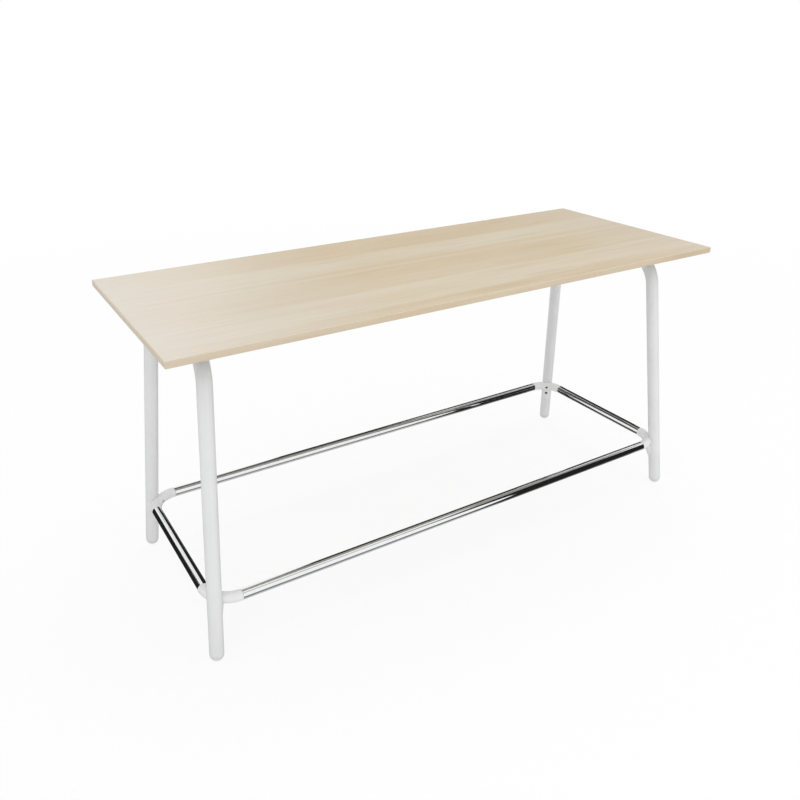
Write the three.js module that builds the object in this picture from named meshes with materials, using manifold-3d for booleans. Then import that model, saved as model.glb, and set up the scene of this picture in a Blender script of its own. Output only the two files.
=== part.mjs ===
// Standing meeting table: a wood-decor top on two bent tube frames that lean outwards, tied
// together near the floor by a ring of chromed foot rails in moulded corner connectors.
// Millimetres, +Z up. The origin is on the floor under the middle of the top, and -Y is the front.

import * as THREE from 'three';
import { mergeVertices } from 'three/addons/utils/BufferGeometryUtils.js';
import loadManifold from 'manifold-3d';

// Whole table
const TABLE_LENGTH = 1800;
const TABLE_DEPTH = 700;
const TABLE_HEIGHT = 905;

// Gap kept between pieces that rest on each other or fit into each other
const CLEARANCE = 0.3;

// Top: faced board with a glued edge band all round
const TOP_THICKNESS = 18;
const BAND_THICKNESS = 2;
const BAND_ARRIS_RADIUS = 1;
const GLUE_LINE = 0.2;

// Leg frames: one tube each, bent into an upside-down U that leans outwards both ways
const LEG_DIAMETER = 40;
const LEG_WALL = 2;
const LEG_LEAN_DEGREES = 6;
const LEG_BEND_RADIUS = 104;
const FOOT_INSET_END = 37;
const FOOT_INSET_SIDE = 40;

// Levelling glides: a dome as wide as the leg on a stud, and the insert that the stud screws into
const GLIDE_FLAT_DEPTH = 0.5;
const STUD_DIAMETER = 10;
const STUD_LENGTH = 32;
const STUD_CHAMFER = 1;
const INSERT_LENGTH = 24;
const INSERT_RIB_WIDTH = 4;
const INSERT_RIB_DEPTH = 0.8;

// Foot rails: a ring of four tubes, whose lines pass just outside the axes of the legs
const RAIL_DIAMETER = 30;
const RAIL_WALL = 1.5;
const RAIL_HEIGHT = 174.5;
const RAIL_OUTSET = 5.4;

// Corner connectors: a quarter bend with a spigot for each rail, saddled on the leg, and a tail
// that runs down the leg and thins out into it
const CONNECTOR_BEND_RADIUS = 80;
const SPIGOT_LENGTH = 32;
const SPIGOT_CHAMFER = 2;
const TAIL_LENGTH = 66;
const TAIL_TILT_DEGREES = 15.4;

// Connector screws: two for each leg, sunk in the connector, and the rivet nuts behind them
const SCREW_DIAMETER = 6;
const SCREW_LENGTH = 18;
const SCREW_HEAD_DIAMETER = 10;
const SCREW_HEAD_HEIGHT = 4;
const SCREW_SOCKET_ACROSS = 4;
const SCREW_SOCKET_DEPTH = 2.3;
const SCREW_CHAMFER = 0.5;
const SCREW_SPACING = 32;
const SCREW_SEAT_WALL = 6.7;
const COUNTERBORE_PLAY = 0.5;
const NUT_DIAMETER = 9;
const NUT_LENGTH = 13;
const NUT_BULGE_DIAMETER = 12;
const NUT_BULGE_LENGTH = 3;

// Mounting plates: flat steel on the cross bar of each frame, reaching inwards under the top
const PLATE_LENGTH = 118;
const PLATE_WIDTH = 84;
const PLATE_THICKNESS = 4;
const PLATE_CORNER_CUT = 8;
const PLATE_OVERHANG = 18;

// Beams: two rectangular tubes from frame to frame, each with a spacer pad in the middle
const BEAM_WIDTH = 40;
const BEAM_HEIGHT = 20;
const BEAM_WALL = 2;
const BEAM_CORNER_RADIUS = 3;
const BEAM_SPACING = 170;
const BEAM_END_GAP = 4;
const PAD_LENGTH = 60;
const PAD_INSET = 3;

// Beam bolts, up through the beam into the plate
const BOLT_DIAMETER = 8;
const BOLT_HEAD_ACROSS = 13;
const BOLT_HEAD_HEIGHT = 5.3;
const BOLT_SETBACK = 35;

// Wood screws, up through the plate into blind holes in the board
const WOOD_SCREW_DIAMETER = 5;
const WOOD_SCREW_LENGTH = 16;
const WOOD_SCREW_HEAD_DIAMETER = 9.5;
const WOOD_SCREW_HEAD_HEIGHT = 3;
const WOOD_SCREW_POINT = 4;
const WOOD_SCREW_EDGE = 14;
const WOOD_SCREW_BEAM_GAP = 11;

// Facets of the round surfaces
const LEG_SIDES = 18;
const RAIL_SIDES = 16;
const FASTENER_SIDES = 10;
const HOLE_SIDES = 10;
const HEXAGON_SIDES = 6;
const LEG_BEND_STEPS = 6;
const CONNECTOR_BEND_STEPS = 6;
const DOME_STEPS = 5;
const ARC_SEGMENTS = 2;
const MERGE_TOLERANCE = 1e-4;

// Places worked out from the sizes
const QUARTER_TURN = Math.PI / 2;
const legRadius = LEG_DIAMETER / 2;
const legBore = legRadius - LEG_WALL;
const railRadius = RAIL_DIAMETER / 2;
const screwRadius = SCREW_DIAMETER / 2;
const nutRadius = NUT_DIAMETER / 2;
const boltRadius = BOLT_DIAMETER / 2;
const woodScrewRadius = WOOD_SCREW_DIAMETER / 2;
const topUnderside = TABLE_HEIGHT - TOP_THICKNESS;
const plateTop = topUnderside - CLEARANCE;
const plateBottom = plateTop - PLATE_THICKNESS;
const beamTop = plateBottom - CLEARANCE;
const beamBottom = beamTop - BEAM_HEIGHT;
const crossbarHeight = plateBottom - CLEARANCE - legRadius;
const footHeight = legRadius - GLIDE_FLAT_DEPTH;
const leanSlope = Math.tan(THREE.MathUtils.degToRad(LEG_LEAN_DEGREES));
const diagonalLean = Math.atan(leanSlope * Math.SQRT2);

// Axis of the back right leg at a height
function legAxisAt(height) {
  const shift = (height - footHeight) * leanSlope;
  const x = TABLE_LENGTH / 2 - FOOT_INSET_END - shift;
  const y = TABLE_DEPTH / 2 - FOOT_INSET_SIDE - shift;
  return new THREE.Vector3(x, y, height);
}

const legAtRail = legAxisAt(RAIL_HEIGHT);
const legAtCrossbar = legAxisAt(crossbarHeight);
const footDrop = legAtRail.distanceTo(legAxisAt(footHeight));
const beamHalfLength = legAtCrossbar.x - legRadius - BEAM_END_GAP;
const boltX = beamHalfLength - BOLT_SETBACK;
const plateOuterX = legAtCrossbar.x + PLATE_OVERHANG;
const woodScrewX = plateOuterX - PLATE_LENGTH + WOOD_SCREW_EDGE;
const woodScrewSpread = BEAM_WIDTH / 2 + WOOD_SCREW_BEAM_GAP;
const woodScrewYs = [1, -1].flatMap((side) => [1, -1].map(
  (edge) => side * (BEAM_SPACING / 2 + edge * woodScrewSpread),
));

// Along the back right leg, from where its axis meets the height of the rails: up the leg,
// and square to it towards the middle of the table
const upLeg = new THREE.Vector3(-leanSlope, -leanSlope, 1).normalize();
const inward = new THREE.Vector3(-1, -1, -2 * leanSlope).normalize();
const legFrameMatrix = new THREE.Matrix4().makeBasis(inward, upLeg.clone().cross(inward), upLeg);

// The middle of the connector's bend lies on the diagonal, inside the leg
const elbowReach = CONNECTOR_BEND_RADIUS * (Math.SQRT2 - 1) - RAIL_OUTSET * Math.SQRT2;
const elbowCentre = new THREE.Vector3(-elbowReach / Math.SQRT2, -elbowReach / Math.SQRT2, 0);
const upperScrewHeight = elbowReach * Math.sin(diagonalLean);
const screwHeights = [upperScrewHeight, upperScrewHeight - SCREW_SPACING];
const screwSeat = legRadius + CLEARANCE + SCREW_SEAT_WALL;

// The four corners of the table, each a quarter turn on from the one before
const CORNERS = [
  { name: 'back_right', x: 1, y: 1 },
  { name: 'back_left', x: -1, y: 1 },
  { name: 'front_left', x: -1, y: -1 },
  { name: 'front_right', x: 1, y: -1 },
];

const wasm = await loadManifold();
wasm.setup();

// A closed geometry as a solid for cutting and joining
function toSolid(geometry) {
  const bare = geometry.clone();
  bare.deleteAttribute('normal');
  bare.deleteAttribute('uv');
  const merged = mergeVertices(bare, MERGE_TOLERANCE);
  const vertProperties = merged.attributes.position.array;
  const triVerts = new Uint32Array(merged.index.array);
  return new wasm.Manifold(new wasm.Mesh({ numProp: 3, vertProperties, triVerts }));
}

// A geometry with others joined to it, and then others cut out of it
function carved(base, joined, cut) {
  let solid = toSolid(base);
  for (const geometry of joined) {
    solid = solid.add(toSolid(geometry));
  }
  for (const geometry of cut) {
    solid = solid.subtract(toSolid(geometry));
  }
  const mesh = solid.getMesh();
  const geometry = new THREE.BufferGeometry();
  geometry.setAttribute('position', new THREE.BufferAttribute(mesh.vertProperties, mesh.numProp));
  geometry.setIndex(new THREE.BufferAttribute(mesh.triVerts, 1));
  geometry.computeVertexNormals();
  return geometry;
}

// A profile of [radius, height] points, from the bottom up, turned round the Z axis
function revolved(profile, sides) {
  const points = profile.map(([radius, height]) => new THREE.Vector2(radius, height));
  return new THREE.LatheGeometry(points, sides).rotateX(QUARTER_TURN);
}

// Radius of a faceted hole whose flat sides lie no closer to the middle than a true radius
function holeRadius(radius, sides) {
  return radius / Math.cos(Math.PI / sides);
}

// A round cutter along Z, from one height to another
function drill(radius, from, to, sides = HOLE_SIDES) {
  const wide = holeRadius(radius, sides);
  return revolved([[0, from], [wide, from], [wide, to], [0, to]], sides);
}

// The outline of a round bar, or of a tube where a bore is given
function roundSection(radius, bore, sides) {
  const section = new THREE.Shape().absarc(0, 0, radius, 0, 2 * Math.PI);
  if (bore > 0) {
    section.holes.push(new THREE.Path().absarc(0, 0, holeRadius(bore, sides), 0, 2 * Math.PI));
  }
  return section;
}

// A path that is read only at its stations, so that a straight stretch takes one step
class StationPath extends THREE.Curve {
  constructor(stations) {
    super();
    this.stations = stations;
  }

  stationAt(share) {
    return this.stations[Math.round(share * (this.stations.length - 1))];
  }

  getPointAt(share) {
    return this.stationAt(share).point.clone();
  }

  getTangentAt(share) {
    return this.stationAt(share).tangent.clone();
  }
}

// A round section carried through a list of stations
function swept(section, stations, sides) {
  return new THREE.ExtrudeGeometry(section, {
    steps: stations.length - 1,
    curveSegments: sides / 2,
    extrudePath: new StationPath(stations),
  });
}

// Stations round a bend of a set radius, where two straight lines meet at a corner
function bendStations(corner, before, after, radius, steps) {
  const angle = before.angleTo(after);
  const start = corner.clone().addScaledVector(before, -radius * Math.tan(angle / 2));
  const side = after.clone().addScaledVector(before, -before.dot(after)).normalize();
  const stations = [];
  for (let step = 0; step <= steps; step += 1) {
    const turn = angle * step / steps;
    const point = start.clone().addScaledVector(before, radius * Math.sin(turn));
    point.addScaledVector(side, radius * (1 - Math.cos(turn)));
    const tangent = before.clone().multiplyScalar(Math.cos(turn));
    tangent.addScaledVector(side, Math.sin(turn));
    stations.push({ point, tangent });
  }
  return stations;
}

// A rectangle about the middle with round corners
function roundedRectangle(width, height, radius, OutlineClass) {
  const x = width / 2 - radius;
  const y = height / 2 - radius;
  const outline = new OutlineClass();
  outline.absarc(x, y, radius, 0, QUARTER_TURN);
  outline.absarc(-x, y, radius, QUARTER_TURN, 2 * QUARTER_TURN);
  outline.absarc(-x, -y, radius, 2 * QUARTER_TURN, 3 * QUARTER_TURN);
  outline.absarc(x, -y, radius, 3 * QUARTER_TURN, 4 * QUARTER_TURN);
  outline.closePath();
  return outline;
}

// A geometry turned so that its Z axis points along a direction, and moved to a place
function aimed(geometry, direction, place) {
  const turn = new THREE.Quaternion().setFromUnitVectors(new THREE.Vector3(0, 0, 1), direction);
  return geometry.applyQuaternion(turn).translate(place.x, place.y, place.z);
}

// A cutter along Z laid square to the leg at a height on it, pointing to the middle of the table
function acrossLeg(geometry, height) {
  return geometry.rotateY(QUARTER_TURN).translate(0, 0, height).applyMatrix4(legFrameMatrix);
}

function finish(color, roughness, metalness) {
  return new THREE.MeshStandardMaterial({ color, roughness, metalness });
}

const woodDecor = finish(0xdccdb4, 0.5, 0);
const bandDecor = finish(0xd2c2a6, 0.5, 0);
const whitePaint = finish(0xe8e8e8, 0.4, 0);
const whitePlastic = finish(0xe4e4e4, 0.45, 0);
const glidePlastic = finish(0xdedede, 0.5, 0);
const chrome = finish(0xd8d9da, 0.08, 1);
const zincSteel = finish(0xa4a8ac, 0.35, 1);
const blackSteel = finish(0x26272a, 0.4, 1);
const spacerRubber = finish(0x34353a, 0.8, 0);

const table = new THREE.Group();

function addPiece(parent, name, geometry, material) {
  const piece = new THREE.Mesh(geometry, material);
  piece.name = name;
  parent.add(piece);
  return piece;
}

// The matrix of a corner: leg axis at the height of the rails, turned by quarter turns
function cornerMatrix(corner) {
  const turns = CORNERS.indexOf(corner);
  const matrix = new THREE.Matrix4().makeRotationZ(turns * QUARTER_TURN);
  return matrix.setPosition(corner.x * legAtRail.x, corner.y * legAtRail.y, RAIL_HEIGHT);
}

// Board between the edge bands, with blind holes for the wood screws
function tabletopBoard() {
  const edge = 2 * (BAND_THICKNESS + GLUE_LINE);
  const board = new THREE.BoxGeometry(TABLE_LENGTH - edge, TABLE_DEPTH - edge, TOP_THICKNESS);
  board.translate(0, 0, topUnderside + TOP_THICKNESS / 2);
  const holeTop = plateBottom + WOOD_SCREW_LENGTH;
  const holes = [woodScrewX, -woodScrewX].flatMap((x) => woodScrewYs.map((y) => {
    const hole = drill(woodScrewRadius + CLEARANCE, topUnderside - CLEARANCE, holeTop);
    return hole.translate(x, y, 0);
  }));
  return carved(board, [], holes);
}

// Edge band along Y with its rounded outer arrises towards +X
function edgeBand(length) {
  const face = BAND_THICKNESS - BAND_ARRIS_RADIUS;
  const section = new THREE.Shape();
  section.moveTo(0, 0);
  section.absarc(face, BAND_ARRIS_RADIUS, BAND_ARRIS_RADIUS, -QUARTER_TURN, 0);
  section.absarc(face, TOP_THICKNESS - BAND_ARRIS_RADIUS, BAND_ARRIS_RADIUS, 0, QUARTER_TURN);
  section.lineTo(0, TOP_THICKNESS);
  section.closePath();
  const options = { depth: length, curveSegments: ARC_SEGMENTS, bevelEnabled: false };
  return new THREE.ExtrudeGeometry(section, options).rotateX(QUARTER_TURN).translate(0, length / 2, 0);
}

function addTop() {
  addPiece(table, 'tabletop_board', tabletopBoard(), woodDecor);
  const sideLength = TABLE_DEPTH - 2 * (BAND_THICKNESS + GLUE_LINE);
  const bands = [
    { name: 'right', length: sideLength, reach: TABLE_LENGTH / 2 },
    { name: 'back', length: TABLE_LENGTH, reach: TABLE_DEPTH / 2 },
    { name: 'left', length: sideLength, reach: TABLE_LENGTH / 2 },
    { name: 'front', length: TABLE_LENGTH, reach: TABLE_DEPTH / 2 },
  ];
  bands.forEach(({ name, length, reach }, turns) => {
    const band = addPiece(table, `edge_band_${name}`, edgeBand(length), bandDecor);
    const inset = reach - BAND_THICKNESS;
    const angle = turns * QUARTER_TURN;
    band.rotation.z = angle;
    band.position.set(inset * Math.cos(angle), inset * Math.sin(angle), topUnderside);
  });
}

// Right leg frame: up the back leg, along the cross bar and down the front leg, with holes for
// the rivet nuts on the inner side of both legs
function legFrame() {
  const tubeEnd = legAxisAt(footHeight).addScaledVector(upLeg, CLEARANCE);
  const along = new THREE.Vector3(0, -1, 0);
  const mirrored = (vector) => new THREE.Vector3(vector.x, -vector.y, vector.z);
  const downLeg = mirrored(upLeg).negate();
  const frontCorner = mirrored(legAtCrossbar);
  const stations = [
    { point: tubeEnd, tangent: upLeg },
    ...bendStations(legAtCrossbar, upLeg, along, LEG_BEND_RADIUS, LEG_BEND_STEPS),
    ...bendStations(frontCorner, along, downLeg, LEG_BEND_RADIUS, LEG_BEND_STEPS),
    { point: mirrored(tubeEnd), tangent: downLeg },
  ];
  const tube = swept(roundSection(legRadius, legBore, LEG_SIDES), stations, LEG_SIDES);
  const holes = CORNERS.filter((corner) => corner.x > 0).flatMap((corner) => screwHeights.map(
    (height) => {
      const hole = drill(nutRadius + CLEARANCE, 0, LEG_DIAMETER, FASTENER_SIDES);
      return acrossLeg(hole, height).applyMatrix4(cornerMatrix(corner));
    },
  ));
  return carved(tube, [], holes);
}

// Mounting plate for the right end, about the middle of its beam
function mountingPlate() {
  const inner = plateOuterX - PLATE_LENGTH;
  const half = PLATE_WIDTH / 2;
  const outline = new THREE.Shape([
    new THREE.Vector2(inner, half - PLATE_CORNER_CUT),
    new THREE.Vector2(inner, PLATE_CORNER_CUT - half),
    new THREE.Vector2(inner + PLATE_CORNER_CUT, -half),
    new THREE.Vector2(plateOuterX - PLATE_CORNER_CUT, -half),
    new THREE.Vector2(plateOuterX, PLATE_CORNER_CUT - half),
    new THREE.Vector2(plateOuterX, half - PLATE_CORNER_CUT),
    new THREE.Vector2(plateOuterX - PLATE_CORNER_CUT, half),
    new THREE.Vector2(inner + PLATE_CORNER_CUT, half),
  ]);
  const bore = (x, y, radius) => {
    const wide = holeRadius(radius + CLEARANCE, HOLE_SIDES);
    outline.holes.push(new THREE.Path().absarc(x, y, wide, 0, 2 * Math.PI));
  };
  bore(boltX, 0, boltRadius);
  bore(woodScrewX, woodScrewSpread, woodScrewRadius);
  bore(woodScrewX, -woodScrewSpread, woodScrewRadius);
  const options = { depth: PLATE_THICKNESS, curveSegments: HOLE_SIDES / 2, bevelEnabled: false };
  return new THREE.ExtrudeGeometry(outline, options);
}

// Wood screw with its head at the bottom, from the height of the seat of the head
function woodScrew() {
  const head = WOOD_SCREW_HEAD_DIAMETER / 2;
  const shoulder = WOOD_SCREW_LENGTH - WOOD_SCREW_POINT;
  return revolved([
    [0, -WOOD_SCREW_HEAD_HEIGHT],
    [head / 2, -WOOD_SCREW_HEAD_HEIGHT],
    [head, 0],
    [woodScrewRadius, 0],
    [woodScrewRadius, shoulder],
    [0, WOOD_SCREW_LENGTH],
  ], FASTENER_SIDES);
}

// Hexagon bolt with its head at the bottom, from the height of the seat of the head
function beamBolt() {
  const length = plateTop - CLEARANCE - beamBottom;
  const shank = revolved([
    [0, -BOLT_HEAD_HEIGHT / 2],
    [boltRadius, -BOLT_HEAD_HEIGHT / 2],
    [boltRadius, length],
    [0, length],
  ], FASTENER_SIDES);
  const cornerRadius = holeRadius(BOLT_HEAD_ACROSS / 2, HEXAGON_SIDES);
  const head = revolved([
    [0, -BOLT_HEAD_HEIGHT],
    [cornerRadius, -BOLT_HEAD_HEIGHT],
    [cornerRadius, 0],
    [0, 0],
  ], HEXAGON_SIDES);
  return carved(head, [shank], []);
}

// Each end of the table: its leg frame with the mounting plates, their screws and the beam bolts
function addEnd(name, turn) {
  const end = new THREE.Group();
  end.rotation.z = turn;
  table.add(end);
  addPiece(end, `leg_frame_${name}`, legFrame(), whitePaint);
  for (const side of [1, -1]) {
    const place = side * Math.cos(turn) > 0 ? `back_${name}` : `front_${name}`;
    const y = side * BEAM_SPACING / 2;
    const plate = addPiece(end, `mounting_plate_${place}`, mountingPlate(), whitePaint);
    plate.position.set(0, y, plateBottom);
    const bolt = addPiece(end, `beam_bolt_${place}`, beamBolt(), zincSteel);
    bolt.position.set(boltX, y, beamBottom - CLEARANCE);
    for (const edge of [1, -1]) {
      const position = edge > 0 ? 'outer' : 'inner';
      const screw = addPiece(end, `wood_screw_${place}_${position}`, woodScrew(), zincSteel);
      screw.position.set(woodScrewX, y + side * edge * woodScrewSpread, plateBottom - CLEARANCE);
    }
  }
}

// Rectangular tube along X with bolt holes through both walls near each end
function beam() {
  const section = roundedRectangle(BEAM_HEIGHT, BEAM_WIDTH, BEAM_CORNER_RADIUS, THREE.Shape);
  const bore = [BEAM_HEIGHT, BEAM_WIDTH].map((size) => size - 2 * BEAM_WALL);
  section.holes.push(roundedRectangle(...bore, BEAM_CORNER_RADIUS - BEAM_WALL, THREE.Path));
  const options = { depth: 2 * beamHalfLength, curveSegments: 1, bevelEnabled: false };
  const tube = new THREE.ExtrudeGeometry(section, options);
  tube.rotateY(QUARTER_TURN).translate(-beamHalfLength, 0, beamTop - BEAM_HEIGHT / 2);
  const holes = [boltX, -boltX].map((x) => {
    const hole = drill(boltRadius + CLEARANCE, beamBottom - CLEARANCE, beamTop + CLEARANCE);
    return hole.translate(x, 0, 0);
  });
  return carved(tube, [], holes);
}

function addBeams() {
  const padHeight = topUnderside - beamTop - 2 * CLEARANCE;
  const pad = new THREE.BoxGeometry(PAD_LENGTH, BEAM_WIDTH - 2 * PAD_INSET, padHeight);
  for (const [name, side] of [['front', -1], ['back', 1]]) {
    const y = side * BEAM_SPACING / 2;
    addPiece(table, `beam_${name}`, beam(), whitePaint).position.y = y;
    const piece = addPiece(table, `beam_pad_${name}`, pad, spacerRubber);
    piece.position.set(0, y, beamTop + CLEARANCE + padHeight / 2);
  }
}

// Foot rails between the ends of the connectors' bends
function addRails() {
  const section = roundSection(railRadius, railRadius - RAIL_WALL, RAIL_SIDES);
  const setback = CONNECTOR_BEND_RADIUS - RAIL_OUTSET + CLEARANCE;
  const rails = [
    { name: 'right', reach: legAtRail.x, half: legAtRail.y - setback },
    { name: 'back', reach: legAtRail.y, half: legAtRail.x - setback },
    { name: 'left', reach: legAtRail.x, half: legAtRail.y - setback },
    { name: 'front', reach: legAtRail.y, half: legAtRail.x - setback },
  ];
  rails.forEach(({ name, reach, half }, turns) => {
    const options = { depth: 2 * half, curveSegments: RAIL_SIDES / 2, bevelEnabled: false };
    const tube = new THREE.ExtrudeGeometry(section, options);
    tube.rotateX(QUARTER_TURN).translate(reach + RAIL_OUTSET, half, 0);
    const rail = addPiece(table, `foot_rail_${name}`, tube, chrome);
    rail.rotation.z = turns * QUARTER_TURN;
    rail.position.z = RAIL_HEIGHT;
  });
}

// Corner connector for the back right leg: bend, spigots and tail, less the leg and the screws
function railConnector() {
  const ringCorner = new THREE.Vector3(RAIL_OUTSET, RAIL_OUTSET, 0);
  const fromSide = new THREE.Vector3(0, 1, 0);
  const toBack = new THREE.Vector3(-1, 0, 0);
  const bend = bendStations(
    ringCorner, fromSide, toBack, CONNECTOR_BEND_RADIUS, CONNECTOR_BEND_STEPS,
  );
  const elbow = swept(roundSection(railRadius, 0, RAIL_SIDES), bend, RAIL_SIDES);
  const spigotRadius = railRadius - RAIL_WALL - CLEARANCE;
  const spigot = () => revolved([
    [0, -SPIGOT_CHAMFER],
    [spigotRadius, -SPIGOT_CHAMFER],
    [spigotRadius, SPIGOT_LENGTH - SPIGOT_CHAMFER],
    [spigotRadius - SPIGOT_CHAMFER, SPIGOT_LENGTH],
    [0, SPIGOT_LENGTH],
  ], RAIL_SIDES);
  const sideSpigot = aimed(spigot(), fromSide.clone().negate(), bend[0].point);
  const backSpigot = aimed(spigot(), toBack, bend[CONNECTOR_BEND_STEPS].point);

  const tilt = THREE.MathUtils.degToRad(TAIL_TILT_DEGREES);
  const downTail = upLeg.clone().multiplyScalar(-Math.cos(tilt));
  downTail.addScaledVector(inward, -Math.sin(tilt));
  const tailEnd = elbowCentre.clone().addScaledVector(downTail, TAIL_LENGTH);
  const tail = swept(roundSection(railRadius, 0, RAIL_SIDES), [
    { point: elbowCentre, tangent: downTail },
    { point: tailEnd, tangent: downTail },
  ], RAIL_SIDES);

  const legReach = TAIL_LENGTH + RAIL_DIAMETER;
  const leg = drill(legRadius + CLEARANCE, -legReach, legReach, LEG_SIDES);
  const screwHoles = screwHeights.flatMap((height) => {
    const outside = elbowReach + RAIL_DIAMETER;
    const hole = drill(screwRadius + CLEARANCE, 0, screwSeat + CLEARANCE, HOLE_SIDES);
    const counterbore = drill(SCREW_HEAD_DIAMETER / 2 + COUNTERBORE_PLAY, screwSeat, outside);
    return [acrossLeg(hole, height), acrossLeg(counterbore, height)];
  });
  const cuts = [leg.applyMatrix4(legFrameMatrix), ...screwHoles];
  return carved(elbow, [sideSpigot, backSpigot, tail], cuts);
}

// Low-head socket screw, from the seat of its head, with the head towards +Z
function connectorScrew() {
  const head = SCREW_HEAD_DIAMETER / 2;
  const body = revolved([
    [0, -SCREW_LENGTH],
    [screwRadius, -SCREW_LENGTH],
    [screwRadius, 0],
    [head, 0],
    [head, SCREW_HEAD_HEIGHT - SCREW_CHAMFER],
    [head - SCREW_CHAMFER, SCREW_HEAD_HEIGHT],
    [0, SCREW_HEAD_HEIGHT],
  ], FASTENER_SIDES);
  const socketBottom = SCREW_HEAD_HEIGHT - SCREW_SOCKET_DEPTH;
  const socketTop = SCREW_HEAD_HEIGHT + CLEARANCE;
  const socket = drill(SCREW_SOCKET_ACROSS / 2, socketBottom, socketTop, HEXAGON_SIDES);
  return carved(body, [], [socket]);
}

// Rivet nut on its axis square to the leg: flush body, and the bulge set behind the tube wall
function rivetNut() {
  const bore = holeRadius(screwRadius + CLEARANCE, FASTENER_SIDES);
  const bulge = NUT_BULGE_DIAMETER / 2;
  const outerFace = Math.sqrt(legRadius ** 2 - nutRadius ** 2) - CLEARANCE;
  const bulgeFace = Math.sqrt(legBore ** 2 - bulge ** 2) - CLEARANCE;
  const bulgeBack = bulgeFace - NUT_BULGE_LENGTH;
  const innerFace = outerFace - NUT_LENGTH;
  return revolved([
    [bore, innerFace],
    [nutRadius, innerFace],
    [nutRadius, bulgeBack],
    [bulge, bulgeBack],
    [bulge, bulgeFace],
    [nutRadius, bulgeFace],
    [nutRadius, outerFace],
    [bore, outerFace],
    [bore, innerFace],
  ], FASTENER_SIDES);
}

// Ribbed insert in the end of the leg, with the hole for the glide's stud
function glideInsert() {
  const bore = holeRadius(STUD_DIAMETER / 2 + CLEARANCE, LEG_SIDES);
  const rib = legBore - CLEARANCE;
  const groove = rib - INSERT_RIB_DEPTH;
  return revolved([
    [bore, 0],
    [rib, 0],
    [rib, INSERT_RIB_WIDTH],
    [groove, INSERT_RIB_WIDTH],
    [groove, INSERT_LENGTH - INSERT_RIB_WIDTH],
    [rib, INSERT_LENGTH - INSERT_RIB_WIDTH],
    [rib, INSERT_LENGTH],
    [bore, INSERT_LENGTH],
    [bore, 0],
  ], LEG_SIDES);
}

// Dome and stud on the axis of the back right leg, with the dome cut flat where it stands
function levellingGlide() {
  const stud = STUD_DIAMETER / 2;
  const profile = [];
  for (let step = 0; step <= DOME_STEPS; step += 1) {
    const angle = QUARTER_TURN * step / DOME_STEPS;
    profile.push([legRadius * Math.sin(angle), -legRadius * Math.cos(angle)]);
  }
  profile.push(
    [stud, 0],
    [stud, STUD_LENGTH - STUD_CHAMFER],
    [stud - STUD_CHAMFER, STUD_LENGTH],
    [0, STUD_LENGTH],
  );
  const dome = revolved(profile, LEG_SIDES).translate(0, 0, -footDrop).applyMatrix4(legFrameMatrix);
  const floor = new THREE.BoxGeometry(2 * LEG_DIAMETER, 2 * LEG_DIAMETER, LEG_DIAMETER);
  const foot = legAxisAt(footHeight).sub(legAtRail);
  floor.translate(foot.x, foot.y, -RAIL_HEIGHT - legRadius);
  return carved(dome, [], [floor]);
}

// Each corner: the connector on its leg with screws and nuts, and the glide in the leg's end
function addCorners() {
  const connector = railConnector();
  const screw = connectorScrew();
  const nut = rivetNut();
  const insert = glideInsert();
  const glide = levellingGlide();
  for (const corner of CORNERS) {
    const place = new THREE.Group();
    place.applyMatrix4(cornerMatrix(corner));
    table.add(place);
    addPiece(place, `rail_connector_${corner.name}`, connector, whitePlastic);
    addPiece(place, `levelling_glide_${corner.name}`, glide, glidePlastic);

    const leg = new THREE.Group();
    leg.applyMatrix4(legFrameMatrix);
    place.add(leg);
    const bush = addPiece(leg, `glide_insert_${corner.name}`, insert, whitePlastic);
    bush.position.z = CLEARANCE - footDrop;
    ['upper', 'lower'].forEach((level, index) => {
      const name = `${corner.name}_${level}`;
      const fastener = addPiece(leg, `connector_screw_${name}`, screw, blackSteel);
      fastener.rotation.y = QUARTER_TURN;
      fastener.position.set(screwSeat + CLEARANCE, 0, screwHeights[index]);
      const anchor = addPiece(leg, `rivet_nut_${name}`, nut, zincSteel);
      anchor.rotation.y = QUARTER_TURN;
      anchor.position.z = screwHeights[index];
    });
  }
}

addTop();
addEnd('right', 0);
addEnd('left', Math.PI);
addBeams();
addRails();
addCorners();

export default table;
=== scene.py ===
import math

import bmesh
import bpy
from mathutils import Matrix, Vector


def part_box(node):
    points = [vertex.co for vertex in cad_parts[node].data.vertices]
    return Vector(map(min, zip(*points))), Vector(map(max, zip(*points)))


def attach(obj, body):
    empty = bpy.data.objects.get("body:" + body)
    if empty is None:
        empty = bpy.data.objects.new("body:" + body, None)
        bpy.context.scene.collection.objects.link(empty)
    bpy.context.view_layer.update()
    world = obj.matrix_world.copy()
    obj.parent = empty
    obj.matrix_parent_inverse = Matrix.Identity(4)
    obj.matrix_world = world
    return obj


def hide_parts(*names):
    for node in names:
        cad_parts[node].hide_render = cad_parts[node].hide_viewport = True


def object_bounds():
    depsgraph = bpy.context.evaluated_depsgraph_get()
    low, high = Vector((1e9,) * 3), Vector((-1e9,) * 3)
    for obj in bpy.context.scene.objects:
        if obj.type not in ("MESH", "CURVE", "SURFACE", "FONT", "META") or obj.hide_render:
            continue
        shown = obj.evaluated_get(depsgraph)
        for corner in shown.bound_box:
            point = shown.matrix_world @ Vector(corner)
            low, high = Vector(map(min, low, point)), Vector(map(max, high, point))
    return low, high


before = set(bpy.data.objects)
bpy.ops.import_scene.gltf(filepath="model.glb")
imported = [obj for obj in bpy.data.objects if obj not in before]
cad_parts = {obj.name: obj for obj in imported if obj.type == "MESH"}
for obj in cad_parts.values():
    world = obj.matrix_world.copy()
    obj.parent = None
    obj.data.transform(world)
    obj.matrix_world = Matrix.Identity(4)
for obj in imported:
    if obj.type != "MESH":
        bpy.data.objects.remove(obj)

cad_low, cad_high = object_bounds()

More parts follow.
